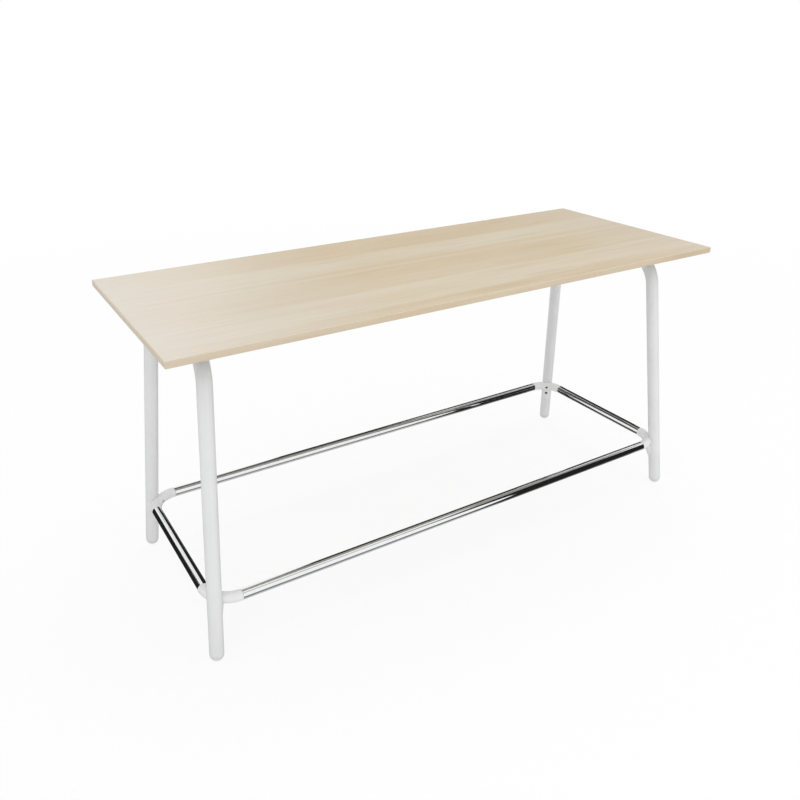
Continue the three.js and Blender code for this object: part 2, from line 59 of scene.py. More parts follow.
# Leg frames
# Each end of the table stands on one round steel tube, bent into an upside-down U that leans
# outwards both ways. It is cut square above the glides and powder-coated white after bending.
LEG_DIAMETER = 0.040
LEG_WALL = 0.002
LEG_LEAN = math.radians(6)
LEG_BEND_RADIUS = 0.104
FOOT_INSET_END = 0.037
FOOT_INSET_SIDE = 0.040
GLIDE_FLAT_DEPTH = 0.0005
PLAY = 0.0003
LEG_SIDES = 80
LEG_BEND_STEPS = 40
TUBE_RIM_ROUND = 0.0004
SHARP_ANGLE = math.radians(35)
RIM_ANGLE = math.radians(8)
PAINT_TONES = ((0.755, 0.758, 0.763), (0.790, 0.792, 0.797))

leg_radius = LEG_DIAMETER / 2
lean_slope = math.tan(LEG_LEAN)
foot_height = leg_radius - GLIDE_FLAT_DEPTH
crossbar_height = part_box("mounting_plate_back_right")[0].z - PLAY - leg_radius


def leg_axis(height):
    """The point at a height on the axis of the back right leg."""
    shift = (height - foot_height) * lean_slope
    return Vector((cad_high.x - FOOT_INSET_END - shift, cad_high.y - FOOT_INSET_SIDE - shift, height))


def add_node(tree, kind, settings=None, **inputs):
    """A new node, with its settings, and with each input linked to a socket or set to a value."""
    node = tree.nodes.new(kind)
    for name, value in (settings or {}).items():
        setattr(node, name, value)
    for name, value in inputs.items():
        socket = next(s for s in node.inputs if s.enabled and s.name.replace(" ", "_") == name)
        if isinstance(value, bpy.types.NodeSocket):
            tree.links.new(value, socket)
        else:
            socket.default_value = value
    return node


def new_group(name, kind, inputs, outputs):
    """An empty node group with named sockets, and its input and output nodes."""
    group = bpy.data.node_groups.new(name, kind)
    for label, socket_type in inputs:
        group.interface.new_socket(label, in_out="INPUT", socket_type="NodeSocket" + socket_type)
    for label, socket_type in outputs:
        group.interface.new_socket(label, in_out="OUTPUT", socket_type="NodeSocket" + socket_type)
    return group, group.nodes.new("NodeGroupInput"), group.nodes.new("NodeGroupOutput")


def uneven_tone_group():
    """Soft patches, as on any finish that was sprayed, plated or handled."""
    group, given, made = new_group(
        "uneven_tone", "ShaderNodeTree", [("Vector", "Vector"), ("Patch Size", "Float")], [("Tone", "Float")])
    scale = add_node(group, "ShaderNodeMath", {"operation": "DIVIDE"})
    scale.inputs[0].default_value = 1.0
    group.links.new(given.outputs["Patch Size"], scale.inputs[1])
    noise = add_node(group, "ShaderNodeTexNoise", Vector=given.outputs["Vector"],
                     Scale=scale.outputs[0], Detail=4.0, Roughness=0.55)
    spread = add_node(group, "ShaderNodeMapRange", Value=noise.outputs["Fac"], From_Min=0.3, From_Max=0.7)
    group.links.new(spread.outputs["Result"], made.inputs["Tone"])
    return group


def fine_texture_group():
    """The fine skin of a coating or a mould: rounded grains with a finer roughness on them."""
    group, given, made = new_group(
        "fine_texture", "ShaderNodeTree", [("Vector", "Vector"), ("Grain Size", "Float")], [("Height", "Float")])
    scale = add_node(group, "ShaderNodeMath", {"operation": "DIVIDE"})
    scale.inputs[0].default_value = 1.0
    group.links.new(given.outputs["Grain Size"], scale.inputs[1])
    grains = add_node(group, "ShaderNodeTexVoronoi", {"feature": "SMOOTH_F1"},
                      Vector=given.outputs["Vector"], Scale=scale.outputs[0], Smoothness=1.0)
    speckle = add_node(group, "ShaderNodeTexNoise", Vector=given.outputs["Vector"],
                       Scale=scale.outputs[0], Detail=3.0)
    height = add_node(group, "ShaderNodeMath", {"operation": "ADD"})
    group.links.new(grains.outputs["Distance"], height.inputs[0])
    group.links.new(speckle.outputs["Fac"], height.inputs[1])
    group.links.new(height.outputs[0], made.inputs["Height"])
    return group


def edge_wear_group():
    """A broken mask along outer edges, where hands, shoes and cloths rub a finish."""
    group, given, made = new_group(
        "edge_wear", "ShaderNodeTree", [("Vector", "Vector"), ("Amount", "Float")], [("Mask", "Float")])
    shape = add_node(group, "ShaderNodeNewGeometry")
    edges = add_node(group, "ShaderNodeMapRange", Value=shape.outputs["Pointiness"], From_Min=0.51, From_Max=0.60)
    breaks = add_node(group, "ShaderNodeTexNoise", Vector=given.outputs["Vector"], Scale=180.0, Detail=5.0)
    broken = add_node(group, "ShaderNodeMapRange", Value=breaks.outputs["Fac"], From_Min=0.42, From_Max=0.62)
    rubbed = add_node(group, "ShaderNodeMath", {"operation": "MULTIPLY"})
    group.links.new(edges.outputs["Result"], rubbed.inputs[0])
    group.links.new(broken.outputs["Result"], rubbed.inputs[1])
    mask = add_node(group, "ShaderNodeMath", {"operation": "MULTIPLY", "use_clamp": True})
    group.links.new(rubbed.outputs[0], mask.inputs[0])
    group.links.new(given.outputs["Amount"], mask.inputs[1])
    group.links.new(mask.outputs[0], made.inputs["Mask"])
    return group


uneven_tone = uneven_tone_group()
fine_texture = fine_texture_group()
edge_wear = edge_wear_group()


def finish_material(name, tones, roughness, patch, grain, depth, worn, wear, metallic=0.0):
    """A finish with two tones in soft patches, a roughness that follows them, a fine skin and worn edges."""
    material = bpy.data.materials.new(name)
    material.use_nodes = True
    tree = material.node_tree
    shader = tree.nodes["Principled BSDF"]
    place = add_node(tree, "ShaderNodeTexCoord").outputs["Object"]
    tone = add_node(tree, "ShaderNodeGroup", {"node_tree": uneven_tone}, Vector=place, Patch_Size=patch)
    skin = add_node(tree, "ShaderNodeGroup", {"node_tree": fine_texture}, Vector=place, Grain_Size=grain)
    rubbed = add_node(tree, "ShaderNodeGroup", {"node_tree": edge_wear}, Vector=place, Amount=wear)
    colour = add_node(tree, "ShaderNodeMix", {"data_type": "RGBA"}, Factor=tone.outputs["Tone"],
                      A=(*tones[0], 1.0), B=(*tones[1], 1.0))
    shown = add_node(tree, "ShaderNodeMix", {"data_type": "RGBA"}, Factor=rubbed.outputs["Mask"],
                     A=colour.outputs[2], B=(*worn, 1.0))
    gloss = add_node(tree, "ShaderNodeMapRange", Value=tone.outputs["Tone"],
                     To_Min=roughness[0], To_Max=roughness[1])
    bump = add_node(tree, "ShaderNodeBump", Strength=0.35, Distance=depth, Height=skin.outputs["Height"])
    tree.links.new(shown.outputs[2], shader.inputs["Base Color"])
    tree.links.new(gloss.outputs["Result"], shader.inputs["Roughness"])
    tree.links.new(bump.outputs["Normal"], shader.inputs["Normal"])
    shader.inputs["Metallic"].default_value = metallic
    return material


def add_piece(name, mesh):
    """A new object at the origin, whose place is in its mesh."""
    piece = bpy.data.objects.new(name, mesh)
    bpy.context.scene.collection.objects.link(piece)
    return piece


def made_plain(piece, name, sharp=SHARP_ANGLE):
    """The piece as its modifiers make it, as a plain mesh with smooth sides and sharp edges."""
    depsgraph = bpy.context.evaluated_depsgraph_get()
    mesh = bpy.data.meshes.new_from_object(piece.evaluated_get(depsgraph), depsgraph=depsgraph)
    mesh.name = name
    bpy.data.objects.remove(piece)
    mesh.shade_smooth()
    mesh.set_sharp_from_angle(angle=sharp)
    return add_piece(name, mesh)


def grown(name, tree, points, edges, **sizes):
    """What a tree of geometry nodes makes along the edges or at the points of a line mesh."""
    line = bpy.data.meshes.new(name + "_line")
    line.from_pydata(points, edges, [])
    source = add_piece(name + "_line", line)
    modifier = source.modifiers.new(tree.name, "NODES")
    modifier.node_group = tree
    for socket in tree.interface.items_tree:
        label = socket.name.replace(" ", "_")
        if socket.in_out == "INPUT" and label in sizes:
            modifier[socket.identifier] = sizes[label]
    return made_plain(source, name)


def round_tube_tree():
    """A round tube along a line, with a bend of one radius at each corner of the line."""
    sizes = [("Geometry", "Geometry"), ("Radius", "Float"), ("Bend Radius", "Float"), ("Bend Steps", "Int"),
             ("Sides", "Int"), ("Material", "Material")]
    tree, given, made = new_group("round_tube", "GeometryNodeTree", sizes, [("Geometry", "Geometry")])
    line = add_node(tree, "GeometryNodeMeshToCurve", Mesh=given.outputs["Geometry"])
    bent = add_node(tree, "GeometryNodeFilletCurve", {"mode": "POLY"}, Curve=line.outputs[0],
                    Count=given.outputs["Bend Steps"], Radius=given.outputs["Bend Radius"])
    section = add_node(tree, "GeometryNodeCurvePrimitiveCircle", Resolution=given.outputs["Sides"],
                       Radius=given.outputs["Radius"])
    tube = add_node(tree, "GeometryNodeCurveToMesh", Curve=bent.outputs[0], Profile_Curve=section.outputs[0])
    whole = add_node(tree, "GeometryNodeRealizeInstances", Geometry=tube.outputs[0])
    painted = add_node(tree, "GeometryNodeSetMaterial", Geometry=whole.outputs[0],
                       Material=given.outputs["Material"])
    tree.links.new(painted.outputs[0], made.inputs["Geometry"])
    return tree


def walled(piece, wall, rim_round):
    """An open skin turned into a tube wall of a set thickness, with the cut rims rounded."""
    name = piece.name
    piece.name = name + "_skin"
    thick = piece.modifiers.new("wall", "SOLIDIFY")
    thick.thickness = wall
    thick.offset = -1
    thick.use_even_offset = True
    rounded = piece.modifiers.new("rim", "BEVEL")
    rounded.width = rim_round
    rounded.segments = 3
    rounded.limit_method = "ANGLE"
    rounded.angle_limit = SHARP_ANGLE
    return made_plain(piece, name, RIM_ANGLE)


white_paint = finish_material(
    "white_powder_coat", PAINT_TONES, (0.36, 0.46), patch=0.09, grain=0.0016, depth=0.00025,
    worn=(0.70, 0.70, 0.71), wear=0.25)
round_tube = round_tube_tree()
up_leg = Vector((-lean_slope, -lean_slope, 1)).normalized()
tube_end = leg_axis(foot_height) + up_leg * PLAY
for end, side in (("right", 1), ("left", -1)):
    corners = [tube_end, leg_axis(crossbar_height)]
    path = [Vector((side * p.x, p.y, p.z)) for p in corners]
    path += [Vector((p.x, -p.y, p.z)) for p in reversed(path)]
    skin = grown("leg_tube_" + end, round_tube, path, [(0, 1), (1, 2), (2, 3)], Radius=leg_radius,
                 Bend_Radius=LEG_BEND_RADIUS, Bend_Steps=LEG_BEND_STEPS, Sides=LEG_SIDES, Material=white_paint)
    leg_tube = walled(skin, LEG_WALL, TUBE_RIM_ROUND)
    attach(leg_tube, "table")
    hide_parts("leg_frame_" + end)

# Levelling glides
# A moulded dome as wide as the leg closes each foot. It turns on a threaded steel stud in an
# insert pressed into the tube, so that each corner can be raised on an uneven floor.
STUD_DIAMETER = 0.010
STUD_LENGTH = 0.032
STUD_CHAMFER = 0.001
STUD_PITCH = 0.0015
STUD_SIDES = 40
THREAD_DEPTH_PER_PITCH = 0.6
THREAD_STEPS_PER_TURN = 8
DOME_STEPS = 36
DOME_RIM_ROUND = 0.0005
CORNERS = (("back_right", 1, 1), ("back_left", -1, 1), ("front_left", -1, -1), ("front_right", 1, -1))
GLIDE_TONES = ((0.70, 0.70, 0.705), (0.75, 0.75, 0.755))
ZINC_TONES = ((0.50, 0.52, 0.55), (0.66, 0.67, 0.69))

rail_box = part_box("foot_rail_front")
rail_height = (rail_box[0].z + rail_box[1].z) / 2
leg_at_rail = leg_axis(rail_height)
foot_drop = (leg_at_rail - leg_axis(foot_height)).length
inward = Vector((-1, -1, -2 * lean_slope)).normalized()
leg_turn = Matrix((inward, up_leg.cross(inward), up_leg)).transposed().to_4x4()


def corner_matrix(index):
    """The place of a corner: the leg axis at the height of the rails, a quarter turn on each time."""
    name, x, y = CORNERS[index]
    place = Matrix.Translation((x * leg_at_rail.x, y * leg_at_rail.y, rail_height))
    return place @ Matrix.Rotation(index * math.pi / 2, 4, "Z")


def turned(profile, sides):
    """A profile of radius and height points, from the bottom up, turned round the Z axis."""
    form = bmesh.new()
    rings = []
    for radius, height in profile:
        count = sides if radius > 0 else 1
        turns = [2 * math.pi * i / sides for i in range(count)]
        rings.append([form.verts.new((radius * math.cos(t), radius * math.sin(t), height)) for t in turns])
    for lower, upper in zip(rings, rings[1:]):
        for i in range(sides):
            j = i + 1
            around = [lower[i % len(lower)], lower[j % len(lower)], upper[j % len(upper)], upper[i % len(upper)]]
            face = list(dict.fromkeys(around))
            if len(face) > 2:
                form.faces.new(face)
    return form


def arc(centre, radius, start, stop, steps):
    """Points round an arc, in degrees, as pairs of numbers."""
    turns = [math.radians(start + (stop - start) * i / steps) for i in range(steps + 1)]
    return [(centre[0] + radius * math.cos(t), centre[1] + radius * math.sin(t)) for t in turns]


def finished(form, name, material, matrix=Matrix.Identity(4), sharp=SHARP_ANGLE):
    """A form turned into a mesh in its place, with its material and smooth sides."""
    mesh = bpy.data.meshes.new(name)
    form.to_mesh(mesh)
    form.free()
    mesh.transform(matrix)
    mesh.materials.append(material)
    mesh.shade_smooth()
    mesh.set_sharp_from_angle(angle=sharp)
    return add_piece(name, mesh)


def dome_form(matrix):
    """The dome in its place, cut flat where it stands on the floor."""
    rim = leg_radius - DOME_RIM_ROUND
    profile = [(0, -leg_radius)] + arc((0, 0), leg_radius, -90, -2, DOME_STEPS)[1:]
    profile += arc((rim, -DOME_RIM_ROUND), DOME_RIM_ROUND, 0, 90, 4) + [(STUD_DIAMETER / 2, 0), (0, 0)]
    form = turned(profile, LEG_SIDES)
    form.transform(matrix)
    everything = form.verts[:] + form.edges[:] + form.faces[:]
    cut = bmesh.ops.bisect_plane(form, geom=everything, plane_co=(0, 0, 0), plane_no=(0, 0, -1), clear_outer=True)
    rim_edges = [e for e in cut["geom_cut"] if isinstance(e, bmesh.types.BMEdge)]
    bmesh.ops.holes_fill(form, edges=rim_edges)
    return form


def ring(reaches, height):
    """The points of a ring round the Z axis at one height, with a reach for each of its sides."""
    turns = [2 * math.pi * i / len(reaches) for i in range(len(reaches))]
    return [(reach * math.cos(turn), reach * math.sin(turn), height) for reach, turn in zip(reaches, turns)]


def skinned(rings):
    """A closed form through rings with equal numbers of points, from the bottom up."""
    form = bmesh.new()
    loops = [[form.verts.new(point) for point in points] for points in rings]
    for lower, upper in zip(loops, loops[1:]):
        for i in range(len(lower)):
            j = (i + 1) % len(lower)
            form.faces.new((lower[i], lower[j], upper[j], upper[i]))
    form.faces.new(list(reversed(loops[0])))
    form.faces.new(loops[-1])
    return form


def threaded_rings(diameter, length, pitch, tip_length, tip_radius, sides):
    """Rings of a threaded shank, from its tip below up to its head at the height 0."""
    crest = diameter / 2
    steps = round(length / pitch * THREAD_STEPS_PER_TURN)
    rings = []
    for step in range(steps + 1):
        above_tip = length * step / steps
        limit = tip_radius + (crest - tip_radius) * min(1, above_tip / tip_length)
        reaches = []
        for side in range(sides):
            phase = (above_tip / pitch - side / sides) % 1
            groove = THREAD_DEPTH_PER_PITCH * pitch * (1 - abs(2 * phase - 1))
            reaches.append(min(crest - groove, limit))
        rings.append(ring(reaches, above_tip - length))
    return rings


glide_plastic = finish_material(
    "moulded_glide", GLIDE_TONES, (0.42, 0.55), patch=0.012, grain=0.0009, depth=0.00012,
    worn=(0.55, 0.54, 0.53), wear=0.5)
zinc_steel = finish_material(
    "zinc_plated_steel", ZINC_TONES, (0.28, 0.42), patch=0.004, grain=0.0006, depth=0.00005,
    worn=(0.74, 0.74, 0.74), wear=0.6, metallic=1.0)
insert_plastic = finish_material(
    "moulded_insert", ((0.62, 0.62, 0.62), (0.68, 0.68, 0.68)), (0.5, 0.6), patch=0.01, grain=0.0008,
    depth=0.0001, worn=(0.5, 0.5, 0.5), wear=0.3)
for index, (corner, x, y) in enumerate(CORNERS):
    foot = corner_matrix(index) @ leg_turn @ Matrix.Translation((0, 0, -foot_drop))
    dome = finished(dome_form(foot), "glide_dome_" + corner, glide_plastic)
    stud_rings = threaded_rings(STUD_DIAMETER, STUD_LENGTH, STUD_PITCH, tip_length=STUD_CHAMFER,
                                tip_radius=STUD_DIAMETER / 2 - STUD_CHAMFER, sides=STUD_SIDES)
    tip_up = Matrix.Rotation(math.pi, 4, "X")
    stud = finished(skinned(stud_rings), "glide_stud_" + corner, zinc_steel, foot @ tip_up)
    for piece, slot in ((dome, "glide_plastic"), (stud, "zinc_steel")):
        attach(piece, "glide_" + corner)
        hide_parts("levelling_glide_" + corner)
    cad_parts["glide_insert_" + corner].material_slots[0].material = insert_plastic

# Mounting plates
# Flat steel plates with cut corners, welded across the top of each cross bar before coating.
# They reach inwards under the top, to take the wood screws and the beam bolts.
PLATE_CORNER_CUT = 0.008
PLATE_EDGE_ROUND = 0.0006
WELD_SIZE = 0.0030
WELD_RIPPLE = 0.0004
WELD_STEP = 0.0022
WELD_SAMPLE = 0.0005
WELD_END_GAP = 0.006
WELD_SPREAD = 0.0105
WELD_SIDES = 14
BOLT_DIAMETER = 0.008
WOOD_SCREW_DIAMETER = 0.005
DRILL_MARGIN = 0.001
DRILL_SIDES = 32


def plate_form(low, high):
    """A plate that fills a box, with its four corners cut off and its edges eased."""
    cut = PLATE_CORNER_CUT
    outline = []
    for x, y, along_x in ((low.x, low.y, -1), (high.x, low.y, 1), (high.x, high.y, -1), (low.x, high.y, 1)):
        in_x = cut if x == low.x else -cut
        in_y = cut if y == low.y else -cut
        pair = [(x, y + in_y), (x + in_x, y)]
        outline += pair if along_x < 0 else reversed(pair)
    form = bmesh.new()
    face = form.faces.new([form.verts.new((x, y, low.z)) for x, y in outline])
    raised = bmesh.ops.extrude_face_region(form, geom=[face])
    lifted = [v for v in raised["geom"] if isinstance(v, bmesh.types.BMVert)]
    bmesh.ops.translate(form, verts=lifted, vec=(0, 0, high.z - low.z))
    bmesh.ops.recalc_face_normals(form, faces=form.faces[:])
    bmesh.ops.bevel(form, geom=form.edges[:], offset=PLATE_EDGE_ROUND, segments=2, affect="EDGES", profile=0.5)
    return form


def joined_or_cut(piece, others, operation, sharp=SHARP_ANGLE):
    """A piece with other pieces joined to it or cut out of it."""
    for other in others:
        step = piece.modifiers.new(operation, "BOOLEAN")
        step.operation = operation
        step.solver = "MANIFOLD"
        step.object = other
    name = piece.name
    piece.name = name + "_before"
    result = made_plain(piece, name, sharp)
    for other in others:
        bpy.data.objects.remove(other)
    return result


def drill(node, diameter, material):
    """A round bar along an upright screw or bolt, a little wider and longer than it, that cuts its hole."""
    low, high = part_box(node)
    reach = diameter / 2 + PLAY
    top = high.z + DRILL_MARGIN
    place = Matrix.Translation(((low.x + high.x) / 2, (low.y + high.y) / 2, 0))
    rings = [ring([reach] * DRILL_SIDES, height) for height in (low.z, top)]
    return finished(skinned(rings), "drill", material, place)


def weld_bead_tree():
    """A rippled bead of weld along a line."""
    sizes = [("Geometry", "Geometry"), ("Size", "Float"), ("Ripple", "Float"), ("Step", "Float"),
             ("Sample", "Float"), ("Sides", "Int"), ("Material", "Material")]
    tree, given, made = new_group("weld_bead", "GeometryNodeTree", sizes, [("Geometry", "Geometry")])
    line = add_node(tree, "GeometryNodeMeshToCurve", Mesh=given.outputs["Geometry"])
    points = add_node(tree, "GeometryNodeResampleCurve", {"mode": "LENGTH"}, Curve=line.outputs[0],
                      Length=given.outputs["Sample"])
    along = add_node(tree, "GeometryNodeSplineParameter")
    count = add_node(tree, "ShaderNodeMath", {"operation": "DIVIDE"})
    tree.links.new(along.outputs["Length"], count.inputs[0])
    tree.links.new(given.outputs["Step"], count.inputs[1])
    turn = add_node(tree, "ShaderNodeMath", {"operation": "MULTIPLY"})
    tree.links.new(count.outputs[0], turn.inputs[0])
    turn.inputs[1].default_value = math.pi
    wave = add_node(tree, "ShaderNodeMath", {"operation": "SINE"})
    tree.links.new(turn.outputs[0], wave.inputs[0])
    crest = add_node(tree, "ShaderNodeMath", {"operation": "ABSOLUTE"})
    tree.links.new(wave.outputs[0], crest.inputs[0])
    rise = add_node(tree, "ShaderNodeMath", {"operation": "MULTIPLY_ADD"})
    tree.links.new(crest.outputs[0], rise.inputs[0])
    tree.links.new(given.outputs["Ripple"], rise.inputs[1])
    tree.links.new(given.outputs["Size"], rise.inputs[2])
    section = add_node(tree, "GeometryNodeCurvePrimitiveCircle", Resolution=given.outputs["Sides"], Radius=1.0)
    bead = add_node(tree, "GeometryNodeCurveToMesh", Curve=points.outputs[0], Profile_Curve=section.outputs[0],
                    Scale=rise.outputs[0], Fill_Caps=True)
    whole = add_node(tree, "GeometryNodeRealizeInstances", Geometry=bead.outputs[0])
    painted = add_node(tree, "GeometryNodeSetMaterial", Geometry=whole.outputs[0],
                       Material=given.outputs["Material"])
    tree.links.new(painted.outputs[0], made.inputs["Geometry"])
    return tree


weld_points = []
for corner, x, y in CORNERS:
    low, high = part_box("mounting_plate_" + corner)
    blank = finished(plate_form(low, high), "plate_" + corner, white_paint, sharp=RIM_ANGLE)
    drills = [drill("beam_bolt_" + corner, BOLT_DIAMETER, white_paint)]
    for place in ("outer", "inner"):
        drills.append(drill(f"wood_screw_{corner}_{place}", WOOD_SCREW_DIAMETER, white_paint))
    plate = joined_or_cut(blank, drills, "DIFFERENCE", RIM_ANGLE)
    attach(plate, "table")
    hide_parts("mounting_plate_" + corner)
    bar_x = x * leg_axis(crossbar_height).x
    weld_height = low.z - WELD_SIZE / 2
    for side in (-WELD_SPREAD, WELD_SPREAD):
        weld_points.append((bar_x + side, low.y + WELD_END_GAP, weld_height))
        weld_points.append((bar_x + side, high.y - WELD_END_GAP, weld_height))
weld_lines = [(i, i + 1) for i in range(0, len(weld_points), 2)]
welds = grown("plate_welds", weld_bead_tree(), weld_points, weld_lines, Size=WELD_SIZE, Ripple=WELD_RIPPLE,
              Step=WELD_STEP, Sample=WELD_SAMPLE, Sides=WELD_SIDES, Material=white_paint)
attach(welds, "table")

# Beams
# Two rectangular steel tubes, coated like the legs, run under the top from frame to frame.
# A rubber pad in the middle of each keeps the board from drumming on the steel.
BEAM_WALL = 0.002
BEAM_CORNER_RADIUS = 0.003
BEAM_CORNER_STEPS = 6
PAD_CORNER_RADIUS = 0.004
PAD_EDGE_ROUND = 0.0008
PAD_CORNER_STEPS = 6
RUBBER_TONES = ((0.018, 0.018, 0.020), (0.030, 0.030, 0.032))


def box_tube_tree():
    """A rectangular tube with rounded corners along a line."""
    sizes = [("Geometry", "Geometry"), ("Width", "Float"), ("Height", "Float"), ("Corner Radius", "Float"),
             ("Corner Steps", "Int"), ("Material", "Material")]
    tree, given, made = new_group("box_tube", "GeometryNodeTree", sizes, [("Geometry", "Geometry")])
    line = add_node(tree, "GeometryNodeMeshToCurve", Mesh=given.outputs["Geometry"])
    upright = add_node(tree, "GeometryNodeSetCurveNormal", {"mode": "Z_UP"}, Curve=line.outputs[0])
    outline = add_node(tree, "GeometryNodeCurvePrimitiveQuadrilateral", Width=given.outputs["Width"],
                       Height=given.outputs["Height"])
    rounded = add_node(tree, "GeometryNodeFilletCurve", {"mode": "POLY"}, Curve=outline.outputs[0],
                       Count=given.outputs["Corner Steps"], Radius=given.outputs["Corner Radius"])
    tube = add_node(tree, "GeometryNodeCurveToMesh", Curve=upright.outputs[0], Profile_Curve=rounded.outputs[0])
    whole = add_node(tree, "GeometryNodeRealizeInstances", Geometry=tube.outputs[0])
    painted = add_node(tree, "GeometryNodeSetMaterial", Geometry=whole.outputs[0],
                       Material=given.outputs["Material"])
    tree.links.new(painted.outputs[0], made.inputs["Geometry"])
    return tree


def pad_form(low, high):
    """A pad that fills a box, with round corners and eased edges."""
    r = PAD_CORNER_RADIUS
    outline = arc((high.x - r, high.y - r), r, 0, 90, PAD_CORNER_STEPS)
    outline += arc((low.x + r, high.y - r), r, 90, 180, PAD_CORNER_STEPS)
    outline += arc((low.x + r, low.y + r), r, 180, 270, PAD_CORNER_STEPS)
    outline += arc((high.x - r, low.y + r), r, 270, 360, PAD_CORNER_STEPS)
    form = bmesh.new()
    face = form.faces.new([form.verts.new((x, y, low.z)) for x, y in outline])
    raised = bmesh.ops.extrude_face_region(form, geom=[face])
    lifted = [v for v in raised["geom"] if isinstance(v, bmesh.types.BMVert)]
    bmesh.ops.translate(form, verts=lifted, vec=(0, 0, high.z - low.z))
    bmesh.ops.recalc_face_normals(form, faces=form.faces[:])
    flat_rims = [e for e in form.edges if abs(e.verts[0].co.z - e.verts[1].co.z) < PLAY]
    bmesh.ops.bevel(form, geom=flat_rims, offset=PAD_EDGE_ROUND, segments=3, affect="EDGES", profile=0.5)
    return form


pad_rubber = finish_material(
    "moulded_rubber", RUBBER_TONES, (0.68, 0.82), patch=0.01, grain=0.0007, depth=0.0002,
    worn=(0.06, 0.06, 0.06), wear=0.6)
box_tube = box_tube_tree()
for side in ("front", "back"):
    low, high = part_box("beam_" + side)
    middle = (low + high) / 2
    ends = [(low.x, middle.y, middle.z), (high.x, middle.y, middle.z)]
    skin = grown("beam_tube_" + side, box_tube, ends, [(0, 1)], Width=high.y - low.y, Height=high.z - low.z,
                 Corner_Radius=BEAM_CORNER_RADIUS, Corner_Steps=BEAM_CORNER_STEPS, Material=white_paint)
    drills = [drill(f"beam_bolt_{side}_{end}", BOLT_DIAMETER, white_paint) for end in ("left", "right")]
    beam_tube = joined_or_cut(walled(skin, BEAM_WALL, TUBE_RIM_ROUND), drills, "DIFFERENCE", RIM_ANGLE)
    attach(beam_tube, "table")
    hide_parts("beam_" + side)
    pad = finished(pad_form(*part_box("beam_pad_" + side)), "rubber_pad_" + side, pad_rubber, sharp=RIM_ANGLE)
    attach(pad, "table")
    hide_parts("beam_pad_" + side)

# Beam bolts
# Zinc-plated hexagon bolts go up through the ends of each beam into the mounting plates.
# Their heads show from below, with the chamfer of a turned blank round each hexagon.
BOLT_HEAD_ACROSS = 0.013
BOLT_HEAD_HEIGHT = 0.0053
BOLT_CHAMFER_ANGLE = math.radians(30)
BOLT_WASHER_FACE = 0.0004
BOLT_FLAT_TOP = 0.0126
BOLT_PITCH = 0.00125
BOLT_TIP_CHAMFER = 0.001
BOLT_SIDES = 72
MERGE_DISTANCE = 1e-6


def placed_tree():
    """One fastener set at each point of a mesh, with its head turned along the mesh's aim."""
    sizes = [("Geometry", "Geometry"), ("Fastener", "Object"), ("Material", "Material")]
    tree, given, made = new_group("placed_fasteners", "GeometryNodeTree", sizes, [("Geometry", "Geometry")])
    model = add_node(tree, "GeometryNodeObjectInfo", Object=given.outputs["Fastener"])
    aim = add_node(tree, "GeometryNodeInputNamedAttribute", {"data_type": "FLOAT_VECTOR"}, Name="aim")
    turn = add_node(tree, "FunctionNodeAlignRotationToVector", {"axis": "Z"}, Vector=aim.outputs["Attribute"])
    copies = add_node(tree, "GeometryNodeInstanceOnPoints", Points=given.outputs["Geometry"],
                      Instance=model.outputs["Geometry"], Rotation=turn.outputs[0])
    whole = add_node(tree, "GeometryNodeRealizeInstances", Geometry=copies.outputs[0])
    plated = add_node(tree, "GeometryNodeSetMaterial", Geometry=whole.outputs[0],
                      Material=given.outputs["Material"])
    tree.links.new(plated.outputs[0], made.inputs["Geometry"])
    return tree


placed_fasteners = placed_tree()


def placed(name, form, places, aims, material):
    """Copies of a fastener, whose head points along +Z, at a list of places and aims, as one piece."""
    mesh = bpy.data.meshes.new(name + "_model")
    form.to_mesh(mesh)
    form.free()
    mesh.materials.append(material)
    model = add_piece(name + "_model", mesh)
    spots = bpy.data.meshes.new(name + "_spots")
    spots.from_pydata(places, [], [])
    aim = spots.attributes.new("aim", "FLOAT_VECTOR", "POINT")
    aim.data.foreach_set("vector", [number for direction in aims for number in direction])
    source = add_piece(name + "_spots", spots)
    modifier = source.modifiers.new("placed", "NODES")
    modifier.node_group = placed_fasteners
    values = {"Fastener": model, "Material": material}
    for socket in placed_fasteners.interface.items_tree:
        if socket.in_out == "INPUT" and socket.name in values:
            modifier[socket.identifier] = values[socket.name]
    piece = made_plain(source, name)
    bpy.data.objects.remove(model)
    return piece


def hexagon(across, sides):
    """The reach of a hexagon of a size across its flats, at each of a number of even turns."""
    turns = [2 * math.pi * i / sides for i in range(sides)]
    return [across / 2 / math.cos((turn + math.pi / 6) % (math.pi / 3) - math.pi / 6) for turn in turns]


def bolt_form(length):
    """A threaded shank, and a hexagon head with a washer face below and a turned chamfer on top."""
    washer = [BOLT_HEAD_ACROSS / 2] * BOLT_SIDES
    flat_top = [BOLT_FLAT_TOP / 2] * BOLT_SIDES
    six_sided = hexagon(BOLT_HEAD_ACROSS, BOLT_SIDES)
    rings = threaded_rings(BOLT_DIAMETER, length, BOLT_PITCH, tip_length=BOLT_TIP_CHAMFER,
                           tip_radius=BOLT_DIAMETER / 2 - BOLT_TIP_CHAMFER, sides=BOLT_SIDES)
    rings += [ring(washer, 0), ring(washer, BOLT_WASHER_FACE), ring(six_sided, BOLT_WASHER_FACE)]
    chamfer = []
    for x, y, height in ring(six_sided, BOLT_HEAD_HEIGHT):
        past_flat = math.hypot(x, y) - BOLT_FLAT_TOP / 2
        chamfer.append((x, y, height - past_flat * math.tan(BOLT_CHAMFER_ANGLE)))
    rings += [chamfer, ring(flat_top, BOLT_HEAD_HEIGHT)]
    form = skinned(rings)
    bmesh.ops.remove_doubles(form, verts=form.verts[:], dist=MERGE_DISTANCE)
    return form


